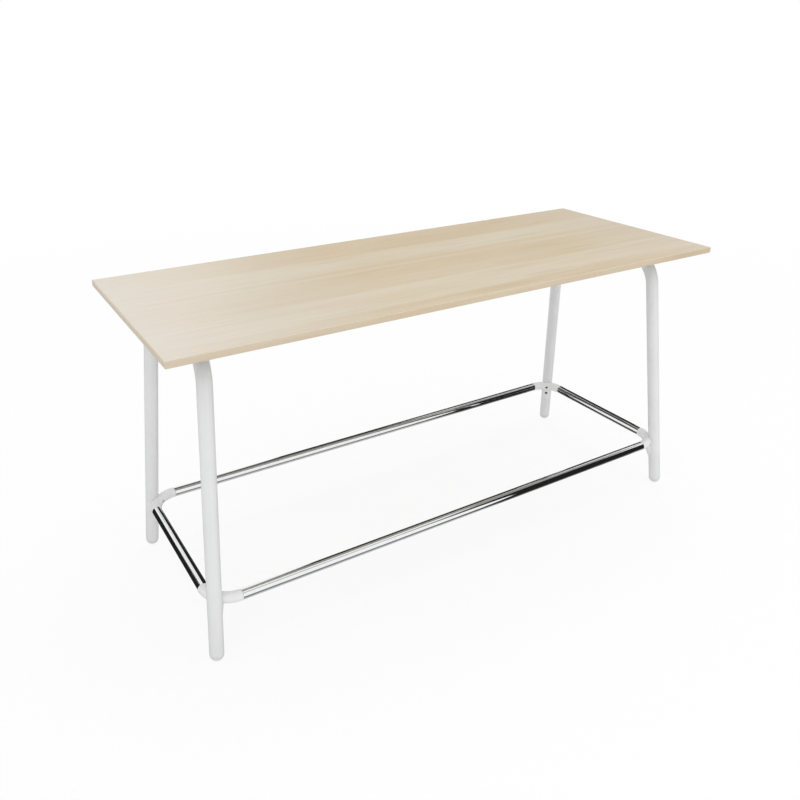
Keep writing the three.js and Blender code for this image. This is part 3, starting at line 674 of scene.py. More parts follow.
bolt_names = ["beam_bolt_" + corner for corner, x, y in CORNERS]
bolt_places = []
for name in bolt_names:
    low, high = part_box(name)
    bolt_places.append(((low.x + high.x) / 2, (low.y + high.y) / 2, low.z + BOLT_HEAD_HEIGHT))
down = [(0, 0, -1)] * len(bolt_places)
bolt_length = high.z - low.z - BOLT_HEAD_HEIGHT
bolts = placed("hexagon_bolts", bolt_form(bolt_length), bolt_places, down, zinc_steel)
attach(bolts, "table")
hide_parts(*bolt_names)

# Foot rails
# Four straight lengths of round steel tube, polished and chromed, make a ring round the legs
# near the floor. Their cut ends push over the spigots of the corner connectors.
RAIL_DIAMETER = 0.030
RAIL_WALL = 0.0015
RAIL_SIDES = 80
RAIL_RIM_ROUND = 0.0003
CHROME_TONES = ((0.83, 0.835, 0.845), (0.89, 0.893, 0.90))

rail_radius = RAIL_DIAMETER / 2
chrome = finish_material(
    "polished_chrome", CHROME_TONES, (0.020, 0.050), patch=0.02, grain=0.0009, depth=0.000004,
    worn=(0.8, 0.8, 0.8), wear=0.2, metallic=1.0)
for side in ("front", "back", "left", "right"):
    low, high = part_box("foot_rail_" + side)
    middle = (low + high) / 2
    if side in ("front", "back"):
        ends = [(low.x, middle.y, middle.z), (high.x, middle.y, middle.z)]
    else:
        ends = [(middle.x, low.y, middle.z), (middle.x, high.y, middle.z)]
    skin = grown("rail_tube_" + side, round_tube, ends, [(0, 1)], Radius=rail_radius, Bend_Radius=0.0,
                 Bend_Steps=1, Sides=RAIL_SIDES, Material=chrome)
    rail_tube = walled(skin, RAIL_WALL, RAIL_RIM_ROUND)
    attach(rail_tube, "table")
    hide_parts("foot_rail_" + side)

# Corner connectors
# A white moulding at each corner carries two rails. Its quarter bend is saddled on the inner
# side of the leg, and a tail runs down the leg below it, with two screws sunk in deep holes.
BEND_RADIUS = 0.080
CONNECTOR_LIP = 0.0010
BEND_STEPS = 48
BAR_SIDES = 96
END_STUB = 0.014
SPIGOT_LENGTH = 0.032
SPIGOT_CHAMFER = 0.002
TAIL_LENGTH = 0.066
TAIL_TILT = math.radians(15.4)
SCREW_SPACING = 0.032
SCREW_SEAT_WALL = 0.0067
SCREW_HEAD_DIAMETER = 0.010
COUNTERBORE_PLAY = 0.0005
SCREW_DIAMETER = 0.006
BLEND_VOXEL = 0.0008
BLEND_PASSES = 24
FILLET_REACH = 0.0075
FILLET_PASSES = 150
EDGE_VOXEL = 0.00055
EDGE_PASSES = 9
CONNECTOR_TONES = ((0.800, 0.802, 0.805), (0.835, 0.837, 0.840))

rail_outset = abs((rail_box[0].y + rail_box[1].y) / 2) - leg_at_rail.y
elbow_reach = BEND_RADIUS * (math.sqrt(2) - 1) - rail_outset * math.sqrt(2)
elbow_middle = Vector((-elbow_reach / math.sqrt(2), -elbow_reach / math.sqrt(2), 0))
elbow_radius = rail_radius + CONNECTOR_LIP
screw_height = elbow_reach * math.sin(math.atan(lean_slope * math.sqrt(2)))
screw_heights = (screw_height, screw_height - SCREW_SPACING)
screw_seat = leg_radius + PLAY + SCREW_SEAT_WALL


def bar(name, stations, radius):
    """A closed round bar carried through stations, each with a point and a direction."""
    form = bmesh.new()
    rings = []
    for point, direction in stations:
        across = direction.orthogonal().normalized() if abs(direction.z) > 0.5 else Vector((0, 0, 1))
        other = direction.cross(across).normalized()
        across = other.cross(direction).normalized()
        ring = []
        for i in range(BAR_SIDES):
            turn = 2 * math.pi * i / BAR_SIDES
            ring.append(form.verts.new(point + radius * (math.cos(turn) * across + math.sin(turn) * other)))
        rings.append(ring)
    for lower, upper in zip(rings, rings[1:]):
        for i in range(BAR_SIDES):
            j = (i + 1) % BAR_SIDES
            form.faces.new((lower[i], lower[j], upper[j], upper[i]))
    form.faces.new(list(reversed(rings[0])))
    form.faces.new(rings[-1])
    mesh = bpy.data.meshes.new(name)
    form.to_mesh(mesh)
    form.free()
    return add_piece(name, mesh)


def remoulded(piece, voxel, passes):
    """A piece with an even skin of small faces, and with its corners softened as a mould softens them."""
    name = piece.name
    piece.name = name + "_before"
    skin = piece.modifiers.new("skin", "REMESH")
    skin.mode = "VOXEL"
    skin.voxel_size = voxel
    soft = piece.modifiers.new("soft", "SMOOTH")
    soft.factor = 0.5
    soft.iterations = passes
    return made_plain(piece, name)


def filleted(piece, bend_centre, down_tail):
    """The joined bend and tail with the fold between them filled, as a mould fills it."""
    fold = piece.vertex_groups.new(name="fold")
    for vertex in piece.data.vertices:
        along_bend = vertex.co - bend_centre
        off_bend = math.hypot(along_bend.xy.length - BEND_RADIUS, along_bend.z) - elbow_radius
        along_tail = vertex.co - elbow_middle
        off_tail = along_tail.cross(down_tail).length - rail_radius
        share = 1 - max(abs(off_bend), abs(off_tail)) / FILLET_REACH
        if share > 0 and along_tail.dot(down_tail) > 0:
            fold.add([vertex.index], share, "REPLACE")
    name = piece.name
    piece.name = name + "_before"
    fill = piece.modifiers.new("fill", "SMOOTH")
    fill.factor = 0.5
    fill.iterations = FILLET_PASSES
    fill.vertex_group = fold.name
    return made_plain(piece, name)


def spigot(name, place, direction):
    """A plug with a chamfered tip for a rail to push over. It starts just inside the end of the bend."""
    reach = rail_radius - RAIL_WALL - PLAY
    profile = [(0, -SPIGOT_CHAMFER), (reach, -SPIGOT_CHAMFER), (reach, SPIGOT_LENGTH - SPIGOT_CHAMFER),
               (reach - SPIGOT_CHAMFER, SPIGOT_LENGTH), (0, SPIGOT_LENGTH)]
    aim = direction.to_track_quat("Z", "X").to_matrix().to_4x4()
    return finished(turned(profile, BAR_SIDES), name, connector_plastic, Matrix.Translation(place) @ aim)


def connector_mesh():
    """The back right connector about its corner: bend and tail blended, less leg and screws, with spigots."""
    start = Vector((rail_outset, rail_outset - BEND_RADIUS, 0))
    first = Vector((0, 1, 0))
    second = Vector((-1, 0, 0))
    stations = [(start - first * END_STUB, first)]
    for step in range(BEND_STEPS + 1):
        turn = math.pi / 2 * step / BEND_STEPS
        point = start + BEND_RADIUS * (math.sin(turn) * first + (1 - math.cos(turn)) * second)
        stations.append((point, math.cos(turn) * first + math.sin(turn) * second))
    stations.append((stations[-1][0] + second * END_STUB, second))
    down_tail = -math.cos(TAIL_TILT) * up_leg - math.sin(TAIL_TILT) * inward
    tail_end = elbow_middle + down_tail * TAIL_LENGTH
    elbow = bar("connector", stations, elbow_radius)
    tail = bar("tail", [(elbow_middle, down_tail), (tail_end, down_tail)], rail_radius)
    blended = remoulded(joined_or_cut(elbow, [tail], "UNION"), BLEND_VOXEL, BLEND_PASSES)
    blended = filleted(blended, start + BEND_RADIUS * second, down_tail)

    cutters = []
    for height in screw_heights:
        level = up_leg * height
        outside = level + inward * (elbow_reach + RAIL_DIAMETER)
        hole = [(level, inward), (outside, inward)]
        bore = [(level + inward * screw_seat, inward), (outside, inward)]
        cutters.append(bar("screw_cut", hole, SCREW_DIAMETER / 2 + PLAY))
        cutters.append(bar("bore_cut", bore, SCREW_HEAD_DIAMETER / 2 + COUNTERBORE_PLAY))
    side_stub = [(start - first * 2 * END_STUB, first), (start, first)]
    back_end = stations[-2][0]
    back_stub = [(back_end, second), (back_end + second * 2 * END_STUB, second)]
    cutters.append(bar("side_cut", side_stub, RAIL_DIAMETER))
    cutters.append(bar("back_cut", back_stub, RAIL_DIAMETER))
    bored = remoulded(joined_or_cut(blended, cutters, "DIFFERENCE"), EDGE_VOXEL, EDGE_PASSES)

    reach = TAIL_LENGTH + RAIL_DIAMETER
    leg_cut = bar("leg_cut", [(-up_leg * reach, up_leg), (up_leg * reach, up_leg)], leg_radius + PLAY)
    carved = joined_or_cut(bored, [leg_cut], "DIFFERENCE")
    spigots = [spigot("side_spigot", start, -first), spigot("back_spigot", back_end, second)]
    whole = joined_or_cut(carved, spigots, "UNION")
    mesh = whole.data
    bpy.data.objects.remove(whole)
    return mesh


connector_plastic = finish_material(
    "moulded_connector", CONNECTOR_TONES, (0.40, 0.52), patch=0.03, grain=0.0008, depth=0.00012,
    worn=(0.66, 0.66, 0.665), wear=0.5)
connector = connector_mesh()
connector.materials.clear()
connector.materials.append(connector_plastic)
for index, (corner, x, y) in enumerate(CORNERS):
    mesh = connector.copy()
    mesh.transform(corner_matrix(index))
    piece = add_piece("corner_connector_" + corner, mesh)
    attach(piece, "table")
    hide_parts("rail_connector_" + corner)

# Connector screws
# Two black low-head socket screws hold each connector. They sit at the bottom of its deep holes
# and bite into zinc-plated rivet nuts set in the wall of the leg.
SCREW_HEAD_HEIGHT = 0.004
SCREW_CHAMFER = 0.0005
SOCKET_ACROSS = 0.004
SOCKET_DEPTH = 0.0023
SOCKET_MOUTH = 0.00448
SOCKET_LEAD_IN = 0.0002
SCREW_LENGTH = 0.018
SCREW_PITCH = 0.001
SCREW_SIDES = 48
BLACK_TONES = ((0.012, 0.012, 0.013), (0.022, 0.022, 0.024))


def socket_screw_form():
    """A threaded shank, and a low head with an eased rim and a hexagon socket."""
    head = SCREW_HEAD_DIAMETER / 2
    rings = threaded_rings(SCREW_DIAMETER, SCREW_LENGTH, SCREW_PITCH, tip_length=SCREW_CHAMFER,
                           tip_radius=SCREW_DIAMETER / 2 - SCREW_CHAMFER, sides=SCREW_SIDES)
    rings.append(ring([head] * SCREW_SIDES, 0))
    rings.append(ring([head] * SCREW_SIDES, SCREW_HEAD_HEIGHT - SCREW_CHAMFER))
    rings.append(ring([head - SCREW_CHAMFER] * SCREW_SIDES, SCREW_HEAD_HEIGHT))
    rings.append(ring(hexagon(SOCKET_MOUTH, SCREW_SIDES), SCREW_HEAD_HEIGHT))
    socket = hexagon(SOCKET_ACROSS, SCREW_SIDES)
    rings.append(ring(socket, SCREW_HEAD_HEIGHT - SOCKET_LEAD_IN))
    rings.append(ring(socket, SCREW_HEAD_HEIGHT - SOCKET_DEPTH))
    return skinned(rings)


black_steel = finish_material(
    "black_oxide_steel", BLACK_TONES, (0.32, 0.46), patch=0.002, grain=0.0005, depth=0.00004,
    worn=(0.12, 0.12, 0.125), wear=0.7, metallic=0.6)
screw_names = []
screw_places = []
screw_aims = []
for index, (corner, x, y) in enumerate(CORNERS):
    place = corner_matrix(index)
    for level, height in zip(("upper", "lower"), screw_heights):
        screw_names.append(f"connector_screw_{corner}_{level}")
        screw_places.append(place @ (up_leg * height + inward * (screw_seat + PLAY)))
        screw_aims.append(place.to_3x3() @ inward)
        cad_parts[f"rivet_nut_{corner}_{level}"].material_slots[0].material = zinc_steel
screws = placed("socket_screws", socket_screw_form(), screw_places, screw_aims, black_steel)
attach(screws, "table")
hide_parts(*screw_names)

# Table top
# An 18 mm board faced with a printed oak-like decor: straight planks of lighter and darker wood with soft lenses,
# fine streaks and short pores, paler towards the ends as a painted sheen over some paler wood. A plain greyish
# balancing sheet covers its underside, darkened as painted shade under the board.
BOARD_EDGE_ROUND = 0.00015
PLANK_ENDS = (-0.296, -0.160, -0.075, 0.014, 0.032, 0.054, 0.190, 0.400)
PLANK_LIGHTNESS = (0.12, 1.00, 0.34, 0.14, 1.00, 0.00, 0.84, 0.16)
PLANK_BLEND = 0.007
PRINT_REACH = 0.400
WOOD_TAN = (0.672, 0.552, 0.385)
WOOD_LIGHT = (0.728, 0.652, 0.515)
WOOD_DARK = (0.545, 0.425, 0.270)
WOOD_ROSE = (0.700, 0.555, 0.395)
WOOD_PALE_SHEEN = (0.715, 0.668, 0.600)
PORE_TONE = (0.42, 0.31, 0.19)
# Spans of X over which the decor turns pale towards each end: a painted sheen, over some paler wood.
PALE_SHEEN_LEFT = (-0.22, -0.95)
PALE_SHEEN_RIGHT = (0.50, 0.95)
CLOUD_SHARE = 0.60
ROSE_SHARE = 0.50
PALE_LENS_SHARE = 0.40
TAN_LENS_SHARE = 0.36
STREAK_SHARE = 0.14
LINE_SHARE = 0.13
PORE_SHARE = 0.18
SWAY = 0.010
DECOR_SHINE = 0.25
DECOR_WEAR = 0.35
# A grey backing for the underside, darkened as painted shade under the board.
BACKING_AND_SHADE_TONES = ((0.338, 0.325, 0.264), (0.368, 0.355, 0.289))


def wood_figure_group():
    """Planks, lenses, streaks and pores that run along X, paler towards the ends as a painted sheen over some
    paler wood, as a colour, a gloss mask and a height.
    """
    group, given, made = new_group(
        "wood_figure", "ShaderNodeTree", [("Vector", "Vector"), ("Pale Left", "Float"), ("Pale Right", "Float")],
        [("Colour", "Color"), ("Streak", "Float"), ("Height", "Float")])

    def grain(vector, scale, detail, low, high):
        stretched = add_node(group, "ShaderNodeMapping", Vector=vector, Scale=scale)
        noise = add_node(group, "ShaderNodeTexNoise", Vector=stretched.outputs[0], Scale=1.0, Detail=detail)
        spread = add_node(group, "ShaderNodeMapRange", Value=noise.outputs["Fac"], From_Min=low, From_Max=high)
        return spread.outputs["Result"]

    def sum_of(operation, first, second):
        node = add_node(group, "ShaderNodeMath", {"operation": operation})
        for socket, value in zip(node.inputs, (first, second)):
            if isinstance(value, bpy.types.NodeSocket):
                group.links.new(value, socket)
            else:
                socket.default_value = value
        return node.outputs[0]

    def mixed(share, first, second):
        blend = add_node(group, "ShaderNodeMix", {"data_type": "RGBA"}, Factor=share)
        for socket, value in ((blend.inputs[6], first), (blend.inputs[7], second)):
            if isinstance(value, bpy.types.NodeSocket):
                group.links.new(value, socket)
            else:
                socket.default_value = (*value, 1.0)
        return blend.outputs[2]

    drift = add_node(group, "ShaderNodeTexNoise", Vector=given.outputs["Vector"], Scale=1.3, Detail=2.0)
    centred = add_node(group, "ShaderNodeVectorMath", {"operation": "SUBTRACT"})
    group.links.new(drift.outputs["Color"], centred.inputs[0])
    centred.inputs[1].default_value = (0.5, 0.5, 0.5)
    sway = add_node(group, "ShaderNodeVectorMath", {"operation": "MULTIPLY"})
    group.links.new(centred.outputs[0], sway.inputs[0])
    sway.inputs[1].default_value = (0.0, SWAY, SWAY)
    moved = add_node(group, "ShaderNodeVectorMath", {"operation": "ADD"})
    group.links.new(given.outputs["Vector"], moved.inputs[0])
    group.links.new(sway.outputs[0], moved.inputs[1])
    wood = moved.outputs[0]
    aside = add_node(group, "ShaderNodeMapping", Vector=wood, Location=(3.7, 1.9, 0.8)).outputs[0]
    place = add_node(group, "ShaderNodeSeparateXYZ", Vector=wood)

    across = add_node(group, "ShaderNodeMapRange", Value=place.outputs["Y"],
                      From_Min=-PRINT_REACH, From_Max=PRINT_REACH)
    planks = add_node(group, "ShaderNodeValToRGB", Fac=across.outputs["Result"])
    ramp = planks.color_ramp
    ramp.interpolation = "EASE"
    plank_start = -PRINT_REACH
    for plank_end, lightness in zip(PLANK_ENDS, PLANK_LIGHTNESS):
        for edge in (plank_start + PLANK_BLEND, plank_end - PLANK_BLEND):
            stop = ramp.elements.new((edge + PRINT_REACH) / (2 * PRINT_REACH))
            stop.color = (lightness, lightness, lightness, 1.0)
        plank_start = plank_end
    ramp.elements.remove(ramp.elements[-1])
    ramp.elements.remove(ramp.elements[0])

    clouds = grain(aside, (2.0, 8.0, 8.0), 2.0, 0.32, 0.68)
    rosy = grain(wood, (1.7, 12.0, 12.0), 1.0, 0.47, 0.72)
    pale_lenses = grain(aside, (3.2, 38.0, 38.0), 1.0, 0.53, 0.80)
    tan_lenses = grain(wood, (3.4, 46.0, 46.0), 1.0, 0.52, 0.80)
    streaks = grain(wood, (4.5, 150.0, 150.0), 2.0, 0.45, 0.75)
    lines = grain(wood, (8.0, 480.0, 480.0), 3.0, 0.42, 0.72)
    pores = grain(wood, (50.0, 1700.0, 1700.0), 1.0, 0.66, 0.74)
    # Towards both ends of X the colour turns pale: a painted sheen, over some paler wood.
    left_sheen = add_node(group, "ShaderNodeMapRange", Value=place.outputs["X"], From_Min=PALE_SHEEN_LEFT[0],
                        From_Max=PALE_SHEEN_LEFT[1], To_Max=given.outputs["Pale Left"])
    right_sheen = add_node(group, "ShaderNodeMapRange", Value=place.outputs["X"], From_Min=PALE_SHEEN_RIGHT[0],
                         From_Max=PALE_SHEEN_RIGHT[1], To_Max=given.outputs["Pale Right"])
    end_sheen = sum_of("ADD", left_sheen.outputs["Result"], right_sheen.outputs["Result"])

    cloudy = sum_of("MULTIPLY", sum_of("SUBTRACT", clouds, 0.5), CLOUD_SHARE)
    colour = mixed(sum_of("ADD", planks.outputs["Color"], cloudy), WOOD_TAN, WOOD_LIGHT)
    colour = mixed(sum_of("MULTIPLY", rosy, ROSE_SHARE), colour, WOOD_ROSE)
    colour = mixed(sum_of("MULTIPLY", pale_lenses, PALE_LENS_SHARE), colour, WOOD_LIGHT)
    colour = mixed(sum_of("MULTIPLY", tan_lenses, TAN_LENS_SHARE), colour, WOOD_DARK)
    colour = mixed(end_sheen, colour, WOOD_PALE_SHEEN)
    colour = mixed(sum_of("MULTIPLY", streaks, STREAK_SHARE), colour, WOOD_DARK)
    colour = mixed(sum_of("MULTIPLY", lines, LINE_SHARE), colour, WOOD_DARK)
    colour = mixed(sum_of("MULTIPLY", pores, PORE_SHARE), colour, PORE_TONE)
    height = sum_of("ADD", sum_of("MULTIPLY", lines, 0.5), pores)
    group.links.new(colour, made.inputs["Colour"])
    group.links.new(streaks, made.inputs["Streak"])
    group.links.new(height, made.inputs["Height"])
    return group


wood_figure = wood_figure_group()


def decor_material(name, turn, shift, roughness, tint_and_sheen, pale_sheen_ends, slope_tones, tone_slope, tone_spread):
    """The wood decor laid on one face, and other tones where the surface has another slope: the board's grey
    backing, darkened as painted shade, and a painted highlight along the band arrises.
    """
    material = bpy.data.materials.new(name)
    material.use_nodes = True
    tree = material.node_tree
    shader = tree.nodes["Principled BSDF"]
    surface = add_node(tree, "ShaderNodeTexCoord")
    place = surface.outputs["Object"]
    laid = add_node(tree, "ShaderNodeMapping", Vector=place, Rotation=(0, 0, turn), Location=shift)
    figure = add_node(tree, "ShaderNodeGroup", {"node_tree": wood_figure}, Vector=laid.outputs[0],
                      Pale_Left=pale_sheen_ends[0], Pale_Right=pale_sheen_ends[1])
    rubbed = add_node(tree, "ShaderNodeGroup", {"node_tree": edge_wear}, Vector=place, Amount=DECOR_WEAR)
    # A tint on the decor. On the end strips it is a painted sheen, lighter and bluer.
    toned = add_node(tree, "ShaderNodeMix", {"data_type": "RGBA", "blend_type": "MULTIPLY"}, Factor=1.0,
                     A=figure.outputs["Colour"], B=(*tint_and_sheen, 1.0))
    printed = add_node(tree, "ShaderNodeMix", {"data_type": "RGBA"}, Factor=rubbed.outputs["Mask"],
                       A=toned.outputs[2], B=(*WOOD_LIGHT, 1.0))
    tone = add_node(tree, "ShaderNodeGroup", {"node_tree": uneven_tone}, Vector=place, Patch_Size=0.03)
    slope_colour = add_node(tree, "ShaderNodeMix", {"data_type": "RGBA"}, Factor=tone.outputs["Tone"],
                    A=(*slope_tones[0], 1.0), B=(*slope_tones[1], 1.0))
    slope = add_node(tree, "ShaderNodeSeparateXYZ", Vector=surface.outputs["Normal"])
    off_slope = add_node(tree, "ShaderNodeMath", {"operation": "SUBTRACT"})
    tree.links.new(slope.outputs["Z"], off_slope.inputs[0])
    off_slope.inputs[1].default_value = tone_slope
    distance = add_node(tree, "ShaderNodeMath", {"operation": "ABSOLUTE"})
    tree.links.new(off_slope.outputs[0], distance.inputs[0])
    # Where the normal's Z is near the given slope the colour turns to the other tones: a painted highlight on the
    # band arrises, a backing darkened as painted shade on the underside.
    on_tone_slope = add_node(tree, "ShaderNodeMapRange", Value=distance.outputs[0], From_Min=tone_spread,
                       From_Max=0.7 * tone_spread)
    shown = add_node(tree, "ShaderNodeMix", {"data_type": "RGBA"}, Factor=on_tone_slope.outputs["Result"],
                     A=printed.outputs[2], B=slope_colour.outputs[2])
    gloss = add_node(tree, "ShaderNodeMapRange", Value=figure.outputs["Streak"],
                     To_Min=roughness[0], To_Max=roughness[1])
    bump = add_node(tree, "ShaderNodeBump", {"invert": True}, Strength=0.25, Distance=0.00008,
                    Height=figure.outputs["Height"])
    tree.links.new(shown.outputs[2], shader.inputs["Base Color"])
    tree.links.new(gloss.outputs["Result"], shader.inputs["Roughness"])
    tree.links.new(bump.outputs["Normal"], shader.inputs["Normal"])
    shader.inputs["Specular IOR Level"].default_value = DECOR_SHINE
    return material


def board_form(low, high):
    """A board that fills a box, with its edges barely eased by the saw."""
    form = bmesh.new()
    size = high - low
    shape = Matrix.Translation((low + high) / 2) @ Matrix.Diagonal((*size, 1))
    bmesh.ops.create_cube(form, size=1, matrix=shape)
    bmesh.ops.bevel(form, geom=form.edges[:], offset=BOARD_EDGE_ROUND, segments=2, affect="EDGES", profile=0.5)
    return form


wood_decor = decor_material("oak_decor_face", 0.0, (0, 0, 0), (0.38, 0.48), (1, 1, 1), (1.00, 0.45),
                            BACKING_AND_SHADE_TONES, -1.0, 0.5)
wood_screw_names = [f"wood_screw_{corner}_{place}" for corner, x, y in CORNERS for place in ("outer", "inner")]
plain_board = finished(board_form(*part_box("tabletop_board")), "oak_board", wood_decor, sharp=RIM_ANGLE)
drills = [drill(name, WOOD_SCREW_DIAMETER, wood_decor) for name in wood_screw_names]
board = joined_or_cut(plain_board, drills, "DIFFERENCE", RIM_ANGLE)
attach(board, "table")
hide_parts("tabletop_board")

# Edge bands
# A 2 mm plastic strip in the same decor is glued on each edge of the board. The long strips run
# over the ends of the short ones, and the outer corners are milled round after gluing.
BAND_ARRIS_RADIUS = 0.001
BAND_ARRIS_STEPS = 8
BAND_END_ROUND = 0.0004
# A lighter tone along the milled arrises: a painted highlight where the round edge meets the light, partly the
# paler core that the milling bares.
ARRIS_HIGHLIGHT_TONES = ((0.75, 0.67, 0.53), (0.79, 0.71, 0.57))


def band_form(length, thickness, height):
    """A strip along X about the middle, with its back on Y = 0 and its outer arrises round, towards -Y."""
    r = BAND_ARRIS_RADIUS
    section = [(0, 0)]
    section += [(-y, z) for y, z in arc((thickness - r, r), r, -90, 0, BAND_ARRIS_STEPS)]
    section += [(-y, z) for y, z in arc((thickness - r, height - r), r, 0, 90, BAND_ARRIS_STEPS)]
    section.append((0, height))
    form = bmesh.new()
    face = form.faces.new([form.verts.new((-length / 2, y, z)) for y, z in section])
    drawn = bmesh.ops.extrude_face_region(form, geom=[face])
    moved = [v for v in drawn["geom"] if isinstance(v, bmesh.types.BMVert)]
    bmesh.ops.translate(form, verts=moved, vec=(length, 0, 0))
    bmesh.ops.recalc_face_normals(form, faces=form.faces[:])
    rims = [e for e in form.edges if abs(e.verts[0].co.x - e.verts[1].co.x) < PLAY]
    bmesh.ops.bevel(form, geom=rims, offset=BAND_END_ROUND, segments=2, affect="EDGES", profile=0.5)
    return form


# The long strips turn paler towards the left end: a painted sheen, over some paler wood.
long_decor = decor_material("oak_decor_long_edge", 0.0, (0, 0.23, 0.3), (0.42, 0.55), (0.93, 0.915, 0.91),
                            (0.30, 0.0), ARRIS_HIGHLIGHT_TONES, 0.60, 0.36)
# The end strips are tinted lighter and bluer than the decor: a painted sheen of the light surroundings on their
# slanting faces.
short_decor = decor_material("oak_decor_short_edge", math.pi / 2, (0.1, 0.5, 0.2), (0.42, 0.55),
                             (1.04, 1.09, 1.24), (0.0, 0.0), ARRIS_HIGHLIGHT_TONES, 0.60, 0.36)
for turns, side in enumerate(("front", "right", "back", "left")):
    low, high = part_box("edge_band_" + side)
    size = high - low
    length, thickness = (size.x, size.y) if side in ("front", "back") else (size.y, size.x)
    middle = (low + high) / 2
    turn = Matrix.Rotation(turns * math.pi / 2, 4, "Z")
    back = turn @ Vector((0, thickness / 2, 0))
    place = Matrix.Translation((middle.x + back.x, middle.y + back.y, low.z)) @ turn
    decor = long_decor if side in ("front", "back") else short_decor
    band = finished(band_form(length, thickness, size.z), "decor_band_" + side, decor, place, RIM_ANGLE)
    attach(band, "table")
    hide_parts("edge_band_" + side)

# Wood screws
# Zinc-plated pan-head screws go up through the mounting plates into the board, two at each plate.
# Only their heads show, each with a cross recess for the driver.
HEAD_DIAMETER = 0.0095
HEAD_HEIGHT = 0.003
HEAD_RIM_HEIGHT = 0.00075
HEAD_SIDES = 48
RECESS_REACH = 0.0022
RECESS_WIDTH = 0.0007
RECESS_DEPTH = 0.0015
WOOD_SCREW_PITCH = 0.0018
WOOD_SCREW_POINT = 0.004
WOOD_SCREW_TIP = 0.0003
HEAD_STEPS = 8


def pan_head_form(length):
    """A threaded shank with a point, and a domed head with a cross recess."""
    head = HEAD_DIAMETER / 2
    rings = threaded_rings(WOOD_SCREW_DIAMETER, length, WOOD_SCREW_PITCH, tip_length=WOOD_SCREW_POINT,
                           tip_radius=WOOD_SCREW_TIP, sides=HEAD_SIDES)
    rings.append(ring([head] * HEAD_SIDES, 0))
    for step in range(HEAD_STEPS):
        turn = step / HEAD_STEPS * math.pi / 2
        height = HEAD_RIM_HEIGHT + (HEAD_HEIGHT - HEAD_RIM_HEIGHT) * math.sin(turn)
        rings.append(ring([head * math.cos(turn)] * HEAD_SIDES, height))
    screw = finished(skinned(rings), "pan_head", zinc_steel)
    cutters = []
    for turn in (0, math.pi / 2):
        slot = bmesh.new()
        lift = Matrix.Translation((0, 0, HEAD_HEIGHT - RECESS_DEPTH / 2 + RECESS_WIDTH))
        size = Matrix.Diagonal((2 * RECESS_REACH, RECESS_WIDTH, RECESS_DEPTH + 2 * RECESS_WIDTH, 1))
        bmesh.ops.create_cube(slot, size=1, matrix=Matrix.Rotation(turn, 4, "Z") @ lift @ size)
        cutters.append(finished(slot, "recess", zinc_steel))
    cut = joined_or_cut(screw, cutters, "DIFFERENCE")
    form = bmesh.new()
    form.from_mesh(cut.data)
    bpy.data.objects.remove(cut)
    return form


wood_screw_places = []
for name in wood_screw_names:
    low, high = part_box(name)
    wood_screw_places.append(((low.x + high.x) / 2, (low.y + high.y) / 2, low.z + HEAD_HEIGHT))
down = [(0, 0, -1)] * len(wood_screw_places)
wood_screw_length = high.z - low.z - HEAD_HEIGHT
wood_screws = placed("pan_head_screws", pan_head_form(wood_screw_length), wood_screw_places, down, zinc_steel)
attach(wood_screws, "table")
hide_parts(*wood_screw_names)

# Studio
# A pale floor that fades out round the table and keeps a soft shadow, a white world and two large
# lamps. Dark and grey cards stand far off, where only mirror-like surfaces see them.
FLOOR_RADIUS = 7.0
FLOOR_SIDES = 96
FLOOR_FADE = (1.6, 5.0)
FLOOR_COLOUR = (0.94, 0.94, 0.94, 1)
FLOOR_CLEARNESS = 0.84
WORLD_LIGHT = 0.85
CARD_DISTANCE = 15.0
UPRIGHT_FLAGS = (
    ("left_back_flag", -48, -17, -48, 25),
    ("left_back_high_flag", -54, -28, 27, 54),
    ("back_flag", 17, 58, -38, 46),
    ("right_flag", 82, 98, -36, 36),
    ("right_front_flag", 118, 146, -46, 45),
    ("front_flag", 196, 222, -38, 36),
    ("left_flag", 256, 280, -38, 40))
FLAG_TONE = 0.016
CEILING_TONE = 0.12
SIDE_CEILING_TONE = 0.32
FRONT_CEILING_TONE = 0.50
NEAR_FLOOR_TONE = 0.56
FAR_FLOOR_TONE = 0.15


def background_rays(tree):
    """1 for the rays that see the background itself: from the camera, a mirror or clear glass."""
    path = add_node(tree, "ShaderNodeLightPath")
    first = add_node(tree, "ShaderNodeMath", {"operation": "MAXIMUM"})
    tree.links.new(path.outputs["Is Camera Ray"], first.inputs[0])
    tree.links.new(path.outputs["Is Glossy Ray"], first.inputs[1])
    second = add_node(tree, "ShaderNodeMath", {"operation": "MAXIMUM"})
    tree.links.new(first.outputs[0], second.inputs[0])
    tree.links.new(path.outputs["Is Transmission Ray"], second.inputs[1])
    return second.outputs[0]


def floor_material():
    """A matt floor that the camera sees through to the white world, more so away from the table."""
    material = bpy.data.materials.new("pale_floor")
    material.use_nodes = True
    tree = material.node_tree
    tree.nodes.remove(tree.nodes["Principled BSDF"])
    place = add_node(tree, "ShaderNodeTexCoord").outputs["Object"]
    distance = add_node(tree, "ShaderNodeVectorMath", {"operation": "LENGTH"})
    tree.links.new(place, distance.inputs[0])
    fade = add_node(tree, "ShaderNodeMapRange", Value=distance.outputs["Value"], From_Min=FLOOR_FADE[0],
                    From_Max=FLOOR_FADE[1], To_Min=FLOOR_CLEARNESS, To_Max=1.0)
    clear = add_node(tree, "ShaderNodeMath", {"operation": "MULTIPLY"})
    tree.links.new(background_rays(tree), clear.inputs[0])
    tree.links.new(fade.outputs["Result"], clear.inputs[1])
    pale = add_node(tree, "ShaderNodeBsdfDiffuse", Color=FLOOR_COLOUR)
    through = add_node(tree, "ShaderNodeBsdfTransparent")
    mix = add_node(tree, "ShaderNodeMixShader", Fac=clear.outputs[0])
    tree.links.new(pale.outputs[0], mix.inputs[1])
    tree.links.new(through.outputs[0], mix.inputs[2])
    tree.links.new(mix.outputs[0], tree.nodes["Material Output"].inputs["Surface"])
    return material


